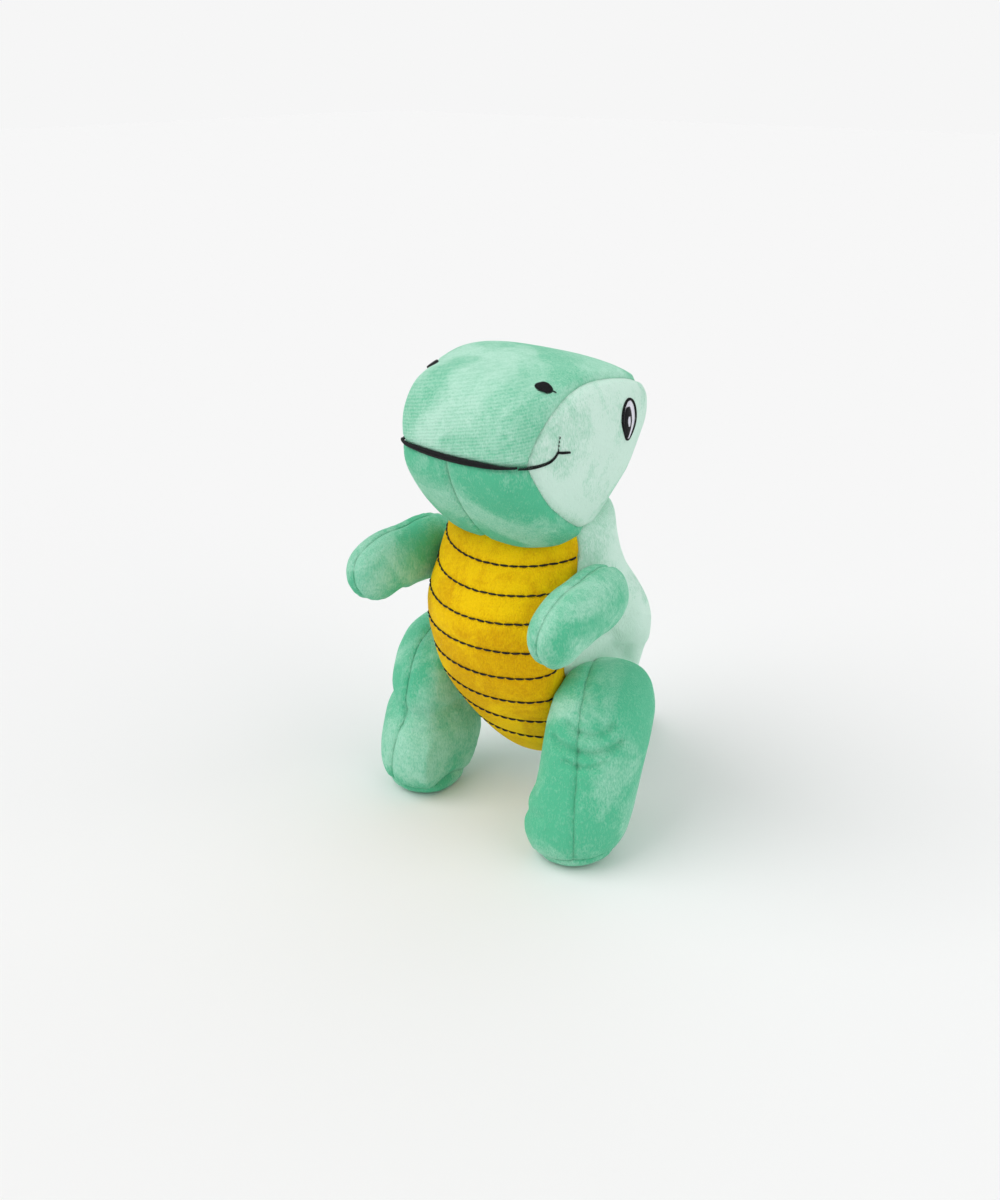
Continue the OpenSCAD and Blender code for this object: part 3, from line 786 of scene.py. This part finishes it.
# %% [markdown]
# ## The closing seam
# The hole for the filling is shut by hand after the toy is turned, low on the back. A ladder
# stitch shows as short slanted strands across the seam.

# %% Sew the closing seam
low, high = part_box("closing_stitch")
LADDER_STEPS = 16
ladder = []
for step in range(LADDER_STEPS):
    height = low.z + (high.z - low.z) * (step + 0.5) / LADDER_STEPS
    side = 1 if step % 2 else -1
    ends = [around_bag(torso_tree, belly_middle, height + k * 0.5 * MM, 180 + side * k * 1.3)
            for k in (-1, -0.5, 0, 0.5, 1)]
    ladder.append(arched([e[0] for e in ends], [e[1] for e in ends], 0.5 * MM, 0.4 * MM))
closing = thread_piece("closing_stitch_thread", ladder, 0.9 * MM)
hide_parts("closing_stitch")
print("ladder stitches", len(ladder))

# %% [markdown]
# ## The face
# The face is embroidered in satin stitch: close strands laid side by side across a shape. A line
# such as the mouth has strands across it. The eye has a white field, a black pupil, a small
# light on it, and a black border that covers the ends of the white strands.

# %% Lay satin stitch
SATIN_PITCH = 0.5 * MM


def on_face(place):
    """The nearest place on the eased head, and the way out from it."""
    spot, normal, _, _ = face_tree.find_nearest(place)
    return spot, normal


def satin_line(route, widths, lift):
    """Strands across a route of places. Widths are read at equal shares of the route."""
    laid = [on_face(place) for place in route]
    lengths = route_lengths(laid)
    count = max(3, int(lengths[-1] / SATIN_PITCH))
    strands = []
    for number in range(count + 1):
        far = lengths[-1] * number / count
        spot, normal = point_along(laid, lengths, far)
        ahead = point_along(laid, lengths, min(far + 0.4 * MM, lengths[-1]))[0]
        behind = point_along(laid, lengths, max(far - 0.4 * MM, 0))[0]
        across = normal.cross(ahead - behind).normalized()
        slant = (ahead - behind).normalized() * 0.12
        place = number / count * (len(widths) - 1)
        index = min(int(place), len(widths) - 2)
        wide = widths[index] + (widths[index + 1] - widths[index]) * (place - index)
        sides = [on_face(spot + (across + slant) * (wide * MM * k / 2)) for k in (-1, -0.5, 0, 0.5, 1)]
        strands.append(arched([p for p, _ in sides], [normal] * 5, lift * MM, 0.35 * MM))
    return strands


def satin_field(middle, up, along, outline, lift, pitch=SATIN_PITCH):
    """Strands across a shape. outline gives half the width and a shift at a height, -1 to 1."""
    tall, half_width, shift = outline
    count = int(2 * tall / pitch)
    strands = []
    for number in range(1, count):
        level = 2 * number / count - 1
        wide = half_width(level)
        centre = middle + up * (tall * level) + along * shift(level)
        laid = [on_face(centre + along * (wide * k / 3)) for k in range(-3, 4)]
        normal = laid[3][1]
        strands.append(arched([p for p, _ in laid], [normal] * 7, lift * MM, -0.1 * lift * MM))
    return strands


def smooth_route(points, steps):
    """A smooth curve through a few places."""
    route = []
    for index in range(len(points) - 1):
        a, b = points[max(index - 1, 0)], points[index]
        c, d = points[index + 1], points[min(index + 2, len(points) - 1)]
        for step in range(steps):
            f = step / steps
            route.append(b + 0.5 * f * (c - a + f * (2 * a - 5 * b + 4 * c - d
                                                     + f * (3 * (b - c) + d - a))))
    return route + [points[-1]]


# %% Embroider the mouth
MOUTH_STEPS = 40
MOUTH_TURN = 74
mouth_mesh = frame["nodes"]["mouth_line"].data
mouth_z = sum(v.co.z for v in mouth_mesh.vertices) / len(mouth_mesh.vertices)
mouth_route = []
for step in range(MOUTH_STEPS + 1):
    share = 2 * step / MOUTH_STEPS - 1
    turn = math.radians(MOUTH_TURN * share)
    mouth_route.append(Vector((
        mouth_high.x * math.sin(turn),
        mouth_high.y - (mouth_high.y - mouth_low.y) * math.cos(turn) ** 0.8,
        mouth_z - 0.6 * MM * (1 - abs(share)),
    )))
MOUTH_WIDTHS = [0.8, 2.0, 2.8, 3.1, 3.1, 3.1, 2.8, 2.0, 0.8]
mouth = thread_piece("mouth_thread", satin_line(mouth_route, MOUTH_WIDTHS, 0.75), 0.62 * MM)
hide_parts("mouth_line")
print("mouth strands from", round(mouth_low.x / MM), "to", round(mouth_high.x / MM), "mm")

# %% Embroider the smile
for side, sign in (("left", 1), ("right", -1)):
    node = "smile_" + side
    low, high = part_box(node)
    out = high.x if sign > 0 else low.x

    def spot_at(back, rise):
        """A place on the cheek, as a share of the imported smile's length and a rise."""
        return Vector((out, low.y - 6.5 * MM + (high.y - low.y) * back, mouth_z + rise * MM))

    bend = smooth_route([spot_at(-0.2, -0.8), spot_at(0.2, -0.8), spot_at(0.55, 0.4),
                         spot_at(0.7, 2.6), spot_at(0.76, 4.6)], 8)
    tick = smooth_route([spot_at(0.75, 4.7), spot_at(0.86, 4.0), spot_at(1.02, 3.5)], 6)
    rise = smooth_route([spot_at(0.77, 5.2), spot_at(0.78, 9.0), spot_at(0.82, 13.5)], 8)
    strands = satin_line(bend, [1.3, 1.6, 1.7, 1.6, 1.2], 0.6)
    strands += satin_line(tick, [1.2, 1.5, 1.1], 0.6)
    laid = [on_face(place) for place in rise]
    strands += running_stitches(laid, 1.3 * MM, 0.5 * MM)
    smile = thread_piece(node + "_thread", strands, 0.5 * MM)
    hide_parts(node)
print("smile strands", len(strands))

# %% Embroider the nostrils
NOSTRIL_LONG = 8.6 * MM
NOSTRIL_TALL = 6.4 * MM
for side, sign in (("left", 1), ("right", -1)):
    node = "nostril_" + side
    low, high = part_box(node)
    middle, normal = on_face((low + high) / 2)
    along = Vector((sign * 0.88, 0.42, 0))
    along = (along - normal * normal.dot(along)).normalized()
    up = normal.cross(along).normalized()
    up = up if up.z > 0 or up.y > 0 else -up
    oval = (NOSTRIL_TALL / 2, lambda level: NOSTRIL_LONG / 2 * math.sqrt(1 - level * level),
            lambda level: 0.0)
    strands = satin_field(middle, up, along, oval, 0.8)
    tail_end = smooth_route([middle + along * NOSTRIL_LONG * 0.46,
                             middle + along * NOSTRIL_LONG * 0.62 - up * 0.3 * MM,
                             middle + along * NOSTRIL_LONG * 0.76], 5)
    strands += running_stitches([on_face(place) for place in tail_end], 2.2 * MM, 1 * MM)
    nostril = thread_piece(node + "_thread", strands, 0.62 * MM)
    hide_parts(node)
print("nostril strands", len(strands))

# %% Embroider the eyes
EYE_LOWER = 1.6 * MM
EYE_TALL_SHARE = 0.89
EYE_LAYERS = {
    # height share, width share, forward shift, upward shift, lift of the thread
    "white": (0.90, 0.86, 0.0, 0.0, 0.55),
    "pupil": (0.74, 0.66, 0.13, -0.04, 0.95),
    "highlight": (0.25, 0.22, 0.13, -0.02, 1.35),
}


def teardrop_half(level):
    """Half width of the eye at a level: round above, pointed below, as a share of its width."""
    round_part = math.sqrt(max(0.0, 1 - level * level))
    return 0.5 * round_part * (1 - 0.42 * max(0.0, -level) ** 1.3)


for side, sign in (("left", 1), ("right", -1)):
    low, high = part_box("eye_" + side + "_outline")
    middle, normal = on_face((low + high) / 2 - Vector((0, 0, EYE_LOWER)))
    tall = EYE_TALL_SHARE * (high.z - low.z)
    wide = high.y - low.y
    up = (Vector((0, 0, 1)) - normal * normal.z).normalized()
    ahead = (Vector((0, -1, 0)) + normal * normal.y).normalized()
    for layer, (share_tall, share_wide, forward, upward, lift) in EYE_LAYERS.items():
        centre = middle + ahead * (forward * wide) + up * (upward * tall)
        shape = (share_tall * tall / 2,
                 lambda level: share_wide * wide * teardrop_half(level),
                 lambda level: 0.0)
        field = satin_field(centre, up, ahead, shape, lift, 0.45 * MM)
        node = "eye_" + side + "_" + layer
        made = thread_piece(node + "_thread", field, 0.55 * MM)
        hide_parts(node)
    RIM_STEPS = 48
    rim = []
    for step in range(RIM_STEPS + 1):
        turn = 2 * math.pi * step / RIM_STEPS
        level = math.sin(turn)
        rim.append(middle + up * (0.95 * tall / 2 * level)
                   + ahead * (0.95 * wide * teardrop_half(level) * (1 if math.cos(turn) > 0 else -1)))
    border = satin_line(rim, [1.3, 1.7, 1.5, 1.3, 1.2, 1.2, 1.2, 1.3, 1.3], 0.75)
    outline = thread_piece("eye_" + side + "_outline_thread", border, 0.5 * MM)
    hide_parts("eye_" + side + "_outline")
print("eye", round(tall / MM, 1), "by", round(wide / MM, 1), "mm")

# %% [markdown]
# ## Pile cloth
# The cloth is a short, dense pile. Where the pile is stroked one way it looks light, and the
# other way dark, so a panel shows soft patches, small tufts and fine fibre streaks. One node
# group mixes these three sizes of noise and gives out a colour, a roughness and a height.


# %% Build the pile group
def node_group(name, inputs, outputs):
    """An empty shader group with named sockets."""
    group = bpy.data.node_groups.new(name, "ShaderNodeTree")
    for label, kind, value in inputs:
        socket = group.interface.new_socket(name=label, in_out="INPUT", socket_type=kind)
        socket.default_value = value
    for label, kind in outputs:
        group.interface.new_socket(name=label, in_out="OUTPUT", socket_type=kind)
    return group, group.nodes.new("NodeGroupInput"), group.nodes.new("NodeGroupOutput")


def noise_node(tree, vector, scale, detail, roughness=0.55, distortion=0.0):
    """A noise texture; scale is a number or a socket."""
    node = tree.nodes.new("ShaderNodeTexNoise")
    tree.links.new(vector, node.inputs["Vector"])
    if isinstance(scale, (int, float)):
        node.inputs["Scale"].default_value = scale
    else:
        tree.links.new(scale, node.inputs["Scale"])
    node.inputs["Detail"].default_value = detail
    node.inputs["Roughness"].default_value = roughness
    node.inputs["Distortion"].default_value = distortion
    return node.outputs["Fac"]


def spread_out(tree, value, low, high, to_low=0.0, to_high=1.0):
    """Stretches the middle of a value over a new range."""
    node = tree.nodes.new("ShaderNodeMapRange")
    node.inputs["From Min"].default_value = low
    node.inputs["From Max"].default_value = high
    node.inputs["To Min"].default_value = to_low
    node.inputs["To Max"].default_value = to_high
    tree.links.new(value, node.inputs["Value"])
    return node.outputs["Result"]


def maths(tree, kind, a, b):
    """One maths step; a and b are numbers or sockets."""
    node = tree.nodes.new("ShaderNodeMath")
    node.operation = kind
    for socket, value in zip(node.inputs, (a, b)):
        if isinstance(value, (int, float)):
            socket.default_value = value
        else:
            tree.links.new(value, socket)
    return node.outputs[0]


MUZZLE_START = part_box("mouth_line")[0].y
MUZZLE_END = MUZZLE_START + 48 * MM
pile, pile_in, pile_out = node_group(
    "brushed pile",
    [("Light", "NodeSocketColor", (0.5, 0.78, 0.65, 1)),
     ("Dark", "NodeSocketColor", (0.11, 0.48, 0.3, 1)),
     ("Place", "NodeSocketVector", (0, 0, 0)),
     ("Patches", "NodeSocketFloat", 26.0),
     ("Lean", "NodeSocketFloat", 0.0),
     ("Ribs", "NodeSocketFloat", 0.0)],
    [("Color", "NodeSocketColor"), ("Roughness", "NodeSocketFloat"),
     ("Height", "NodeSocketFloat")])
where = pile.nodes.new("ShaderNodeTexCoord").outputs["Object"]
shifted = pile.nodes.new("ShaderNodeVectorMath")
pile.links.new(where, shifted.inputs[0])
pile.links.new(pile_in.outputs["Place"], shifted.inputs[1])
moved = shifted.outputs[0]
patches = spread_out(pile, noise_node(pile, moved, pile_in.outputs["Patches"], 5.0, 0.55, 1.1),
                     0.40, 0.60)
tufts = spread_out(pile, noise_node(pile, moved, 260.0, 4.0, 0.65, 0.8), 0.34, 0.66)
stroke = pile.nodes.new("ShaderNodeMapping")
stroke.inputs["Rotation"].default_value = (0.3, 0.5, 0.2)
stroke.inputs["Scale"].default_value = (1.0, 1.0, 0.34)
pile.links.new(moved, stroke.inputs["Vector"])
fibres = spread_out(pile, noise_node(pile, stroke.outputs[0], 1500.0, 3.0, 0.7), 0.32, 0.68)
rib_turn = pile.nodes.new("ShaderNodeMapping")
rib_turn.inputs["Rotation"].default_value = (0.0, 0.22, 0.0)
pile.links.new(where, rib_turn.inputs["Vector"])
ribs = pile.nodes.new("ShaderNodeTexWave")
ribs.bands_direction = "Z"
ribs.inputs["Scale"].default_value = 205.0
ribs.inputs["Distortion"].default_value = 2.2
ribs.inputs["Detail"].default_value = 3.0
ribs.inputs["Detail Scale"].default_value = 3.0
pile.links.new(rib_turn.outputs[0], ribs.inputs["Vector"])
place_axes = pile.nodes.new("ShaderNodeSeparateXYZ")
pile.links.new(where, place_axes.inputs[0])
in_front = spread_out(pile, place_axes.outputs["Y"], MUZZLE_END, MUZZLE_START)
rib_value = maths(pile, "MULTIPLY", ribs.outputs["Fac"], pile_in.outputs["Ribs"])
rib_value = maths(pile, "MULTIPLY", rib_value, in_front)
shade = maths(pile, "MULTIPLY", patches, 0.55)
shade = maths(pile, "ADD", shade, maths(pile, "MULTIPLY", tufts, 0.22))
shade = maths(pile, "ADD", shade, maths(pile, "MULTIPLY", fibres, 0.46))
shade = maths(pile, "ADD", shade, maths(pile, "MULTIPLY", rib_value, 0.30))
# Lean shifts a whole panel towards its light or its dark colour; the mint panels use it for painted
# light and painted shade as well as for their nap.
shade = maths(pile, "ADD", shade, pile_in.outputs["Lean"])
blend_colour = pile.nodes.new("ShaderNodeMix")
blend_colour.data_type = "RGBA"
blend_colour.clamp_factor = True
pile.links.new(shade, blend_colour.inputs[0])
pile.links.new(pile_in.outputs["Dark"], blend_colour.inputs[6])
pile.links.new(pile_in.outputs["Light"], blend_colour.inputs[7])
pile.links.new(blend_colour.outputs[2], pile_out.inputs["Color"])
pile.links.new(spread_out(pile, shade, 0.0, 1.1, 0.95, 0.8), pile_out.inputs["Roughness"])
height = maths(pile, "ADD", maths(pile, "MULTIPLY", fibres, 0.7), maths(pile, "MULTIPLY", tufts, 0.5))
height = maths(pile, "ADD", height, maths(pile, "MULTIPLY", rib_value, 0.5))
pile.links.new(height, pile_out.inputs["Height"])
print("pile group nodes", len(pile.nodes))


# %% Make the cloth materials
def cloth_material(name, light, dark, lean, place=(0, 0, 0), patches=26.0, ribs=0.0, sheen=0.35):
    """Pile cloth with a brushed look."""
    material = bpy.data.materials.new(name)
    material.use_nodes = True
    tree = material.node_tree
    shader = tree.nodes["Principled BSDF"]
    group = tree.nodes.new("ShaderNodeGroup")
    group.node_tree = pile
    group.inputs["Light"].default_value = (*light, 1)
    group.inputs["Dark"].default_value = (*dark, 1)
    group.inputs["Place"].default_value = place
    group.inputs["Patches"].default_value = patches
    group.inputs["Lean"].default_value = lean
    group.inputs["Ribs"].default_value = ribs
    tree.links.new(group.outputs["Color"], shader.inputs["Base Color"])
    tree.links.new(group.outputs["Roughness"], shader.inputs["Roughness"])
    bump = tree.nodes.new("ShaderNodeBump")
    bump.inputs["Strength"].default_value = 0.7
    bump.inputs["Distance"].default_value = 0.5 * MM
    tree.links.new(group.outputs["Height"], bump.inputs["Height"])
    tree.links.new(bump.outputs["Normal"], shader.inputs["Normal"])
    shader.inputs["Sheen Weight"].default_value = sheen
    shader.inputs["Sheen Roughness"].default_value = 0.45
    shader.inputs["Sheen Tint"].default_value = (*light, 1)
    shader.inputs["Specular IOR Level"].default_value = 0.15
    return material


# The paler mint is a lit copy of the mint, given to the cheeks and back: painted light.
MINT_PALE_LIT = (0.70, 0.94, 0.82)
MINT_LIGHT = (0.56, 0.90, 0.73)
MINT_DARK = (0.10, 0.56, 0.32)
YELLOW_LIGHT = (1.0, 0.64, 0.0)
YELLOW_DARK = (0.62, 0.27, 0.0)
# name: light side, lean towards it, place of its patches, patches to the metre, ribs. The lean and the
# light side are partly the nap of each panel and partly painted light: painted shade darkens the jaw
# under the head, and a pale light side with a strong lean paints light on the cheeks and back.
MINT_NAPS_AND_LIGHT = {
    "crown": (MINT_LIGHT, -0.02, (0.013, 0.02, 0.0), 20.0, 0.8),
    "cheek": (MINT_PALE_LIT, 0.32, (0.0, 0.31, 0.0), 24.0, 0.0),
    "jaw": (MINT_LIGHT, -0.42, (0.0, 0.0, 0.4), 22.0, 0.0),
    "back": (MINT_PALE_LIT, 0.42, (0.2, 0.0, 0.1), 18.0, 0.0),
    "arm": (MINT_LIGHT, -0.34, (0.5, 0.1, 0.0), 26.0, 0.0),
    "leg": (MINT_LIGHT, -0.36, (0.1, 0.6, 0.0), 20.0, 0.0),
    "tail": (MINT_LIGHT, -0.10, (0.7, 0.0, 0.2), 24.0, 0.0),
}
nap_and_light_cloths = {name: cloth_material("mint pile, " + name, light, MINT_DARK, lean, place, size, ribs)
        for name, (light, lean, place, size, ribs) in MINT_NAPS_AND_LIGHT.items()}
belly_cloth = cloth_material("yellow pile", YELLOW_LIGHT, YELLOW_DARK, 0.16, (0, 0, 0), 30.0,
                             sheen=0.04)
PANEL_NAPS_AND_LIGHT = {"head_top": "crown", "cheek": "cheek", "jaw": "jaw", "back": "back", "arm": "arm",
              "leg": "leg", "tail": "tail"}


def nap_of(node):
    """The material of a mint panel, by the start of its name."""
    return next(nap_and_light_cloths[pile_look] for start, pile_look in PANEL_NAPS_AND_LIGHT.items() if node.startswith(start))


# %% [markdown]
# ## Embroidery thread
# Polyester thread shines along its strands. The strands are real shapes already, so the
# material only adds the fine twist of the plies and a satin gloss.

# %% Make the thread materials
twist, twist_in, twist_out = node_group(
    "thread twist",
    [("Colour", "NodeSocketColor", (0.02, 0.02, 0.02, 1)),
     ("Worn", "NodeSocketColor", (0.05, 0.05, 0.05, 1))],
    [("Color", "NodeSocketColor"), ("Roughness", "NodeSocketFloat"), ("Height", "NodeSocketFloat")])
twist_where = twist.nodes.new("ShaderNodeTexCoord").outputs["Object"]
plies = spread_out(twist, noise_node(twist, twist_where, 2600.0, 2.0), 0.3, 0.7)
wear = spread_out(twist, noise_node(twist, twist_where, 300.0, 3.0), 0.35, 0.75)
worn_share = maths(twist, "MULTIPLY", plies, wear)
thread_colour = twist.nodes.new("ShaderNodeMix")
thread_colour.data_type = "RGBA"
twist.links.new(worn_share, thread_colour.inputs[0])
twist.links.new(twist_in.outputs["Colour"], thread_colour.inputs[6])
twist.links.new(twist_in.outputs["Worn"], thread_colour.inputs[7])
twist.links.new(thread_colour.outputs[2], twist_out.inputs["Color"])
twist.links.new(spread_out(twist, plies, 0.0, 1.0, 0.38, 0.6), twist_out.inputs["Roughness"])
twist.links.new(plies, twist_out.inputs["Height"])


def thread_material(name, colour, worn):
    """Embroidery thread with a satin gloss."""
    material = bpy.data.materials.new(name)
    material.use_nodes = True
    tree = material.node_tree
    shader = tree.nodes["Principled BSDF"]
    group = tree.nodes.new("ShaderNodeGroup")
    group.node_tree = twist
    group.inputs["Colour"].default_value = (*colour, 1)
    group.inputs["Worn"].default_value = (*worn, 1)
    tree.links.new(group.outputs["Color"], shader.inputs["Base Color"])
    tree.links.new(group.outputs["Roughness"], shader.inputs["Roughness"])
    bump = tree.nodes.new("ShaderNodeBump")
    bump.inputs["Strength"].default_value = 0.3
    bump.inputs["Distance"].default_value = 0.1 * MM
    tree.links.new(group.outputs["Height"], bump.inputs["Height"])
    tree.links.new(bump.outputs["Normal"], shader.inputs["Normal"])
    shader.inputs["Specular IOR Level"].default_value = 0.25
    return material


black_thread = thread_material("black thread", (0.003, 0.003, 0.004), (0.014, 0.014, 0.017))
white_thread = thread_material("white thread", (0.86, 0.86, 0.92), (0.60, 0.60, 0.76))
mint_thread = thread_material("mint thread", (0.20, 0.52, 0.38), (0.36, 0.66, 0.52))

# %% [markdown]
# ## Joining
# The pieces of the head ride on their body. The pieces of the torso, tail, arms and legs, whose cloth
# and fibre cross a moving seam, are not joined to a body: their placement is only baked into their mesh,
# and the bends listed here are not built.

# %% Join the pieces to the bodies
NECK_BEND = (neck - Vector((0, 0, 20 * MM)), neck - Vector((0, 0, 1 * MM)))
TAIL_BEND = (tail_root + Vector((0, 1 * MM, 0)), tail_root + Vector((0, 15 * MM, 0)))


def limb_bend(root, sign):
    """Start and end of the bend at the root of a limb."""
    start = Vector((sign * root.x, root.y, root.z))
    return start, start + Vector((sign * 12 * MM, 0, 0))


BENDS = {
    "torso": ("torso", "head", NECK_BEND),
    "tail": ("torso", "tail", TAIL_BEND),
    "arm_left": ("torso", "arm_left", limb_bend(shoulder, 1)),
    "arm_right": ("torso", "arm_right", limb_bend(shoulder, -1)),
    "leg_left": ("torso", "leg_left", limb_bend(hip, 1)),
    "leg_right": ("torso", "leg_right", limb_bend(hip, -1)),
}


def join_to(piece, body):
    """Lets a piece ride on its body; a piece of a part listed in BENDS only has its placement baked into
    its mesh.
    """
    if body in BENDS:
        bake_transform(piece)
    else:
        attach(piece, body)


print("bends", len(BENDS))

# %% [markdown]
# ## The filling
# Loose polyester fibre fills every bag. It is out of sight, but it is a piece of the toy, so each
# bag keeps a filling just under its cloth.

# %% Pack the fillings
fibre = cloth_material("fibre filling", (0.92, 0.91, 0.88), (0.75, 0.74, 0.70), 0.2)
FILLING_SPACE = 2.0 * MM
for body, (node, _) in BAGS.items():
    filling = bags[body]
    for vertex, inward in [(v, v.normal.copy()) for v in filling.data.vertices]:
        vertex.co -= inward * FILLING_SPACE
    filling.name = node + "_fibre"
    filling.data.materials.clear()
    filling.data.materials.append(fibre)
    for face in filling.data.polygons:
        face.material_index = 0
    thin = filling.modifiers.new("thin", "DECIMATE")
    thin.ratio = 0.25
    settle(filling)
    join_to(filling, body)
    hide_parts(node)
print("fillings", len(BAGS))

# %% [markdown]
# ## Dressing
# Every panel gets its cloth and every row its thread. The belly rows cross the bend of the neck; like
# the torso's cloth, they are not joined to a body, and their placement is only baked into their mesh.

# %% Dress the panels
for body, (_, panels) in BAGS.items():
    for node in panels:
        piece = pieces[node]
        yellow = node == "belly_panel"
        piece.data.materials.clear()
        piece.data.materials.append(belly_cloth if yellow else nap_of(node))
        join_to(piece, body)
print("panels dressed", len(pieces))

# %% Dress the threads
for name, piece in pieces.items():
    if not name.endswith("_thread"):
        continue
    white = "_white" in name or "_highlight" in name
    closing_row = name.startswith("closing")
    material = white_thread if white else mint_thread if closing_row else black_thread
    piece.data.materials.clear()
    piece.data.materials.append(material)
    if name.startswith("belly_stitch"):
        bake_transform(piece)
    else:
        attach(piece, "torso" if closing_row else "head")
print("pieces", len(pieces) + len(BAGS))
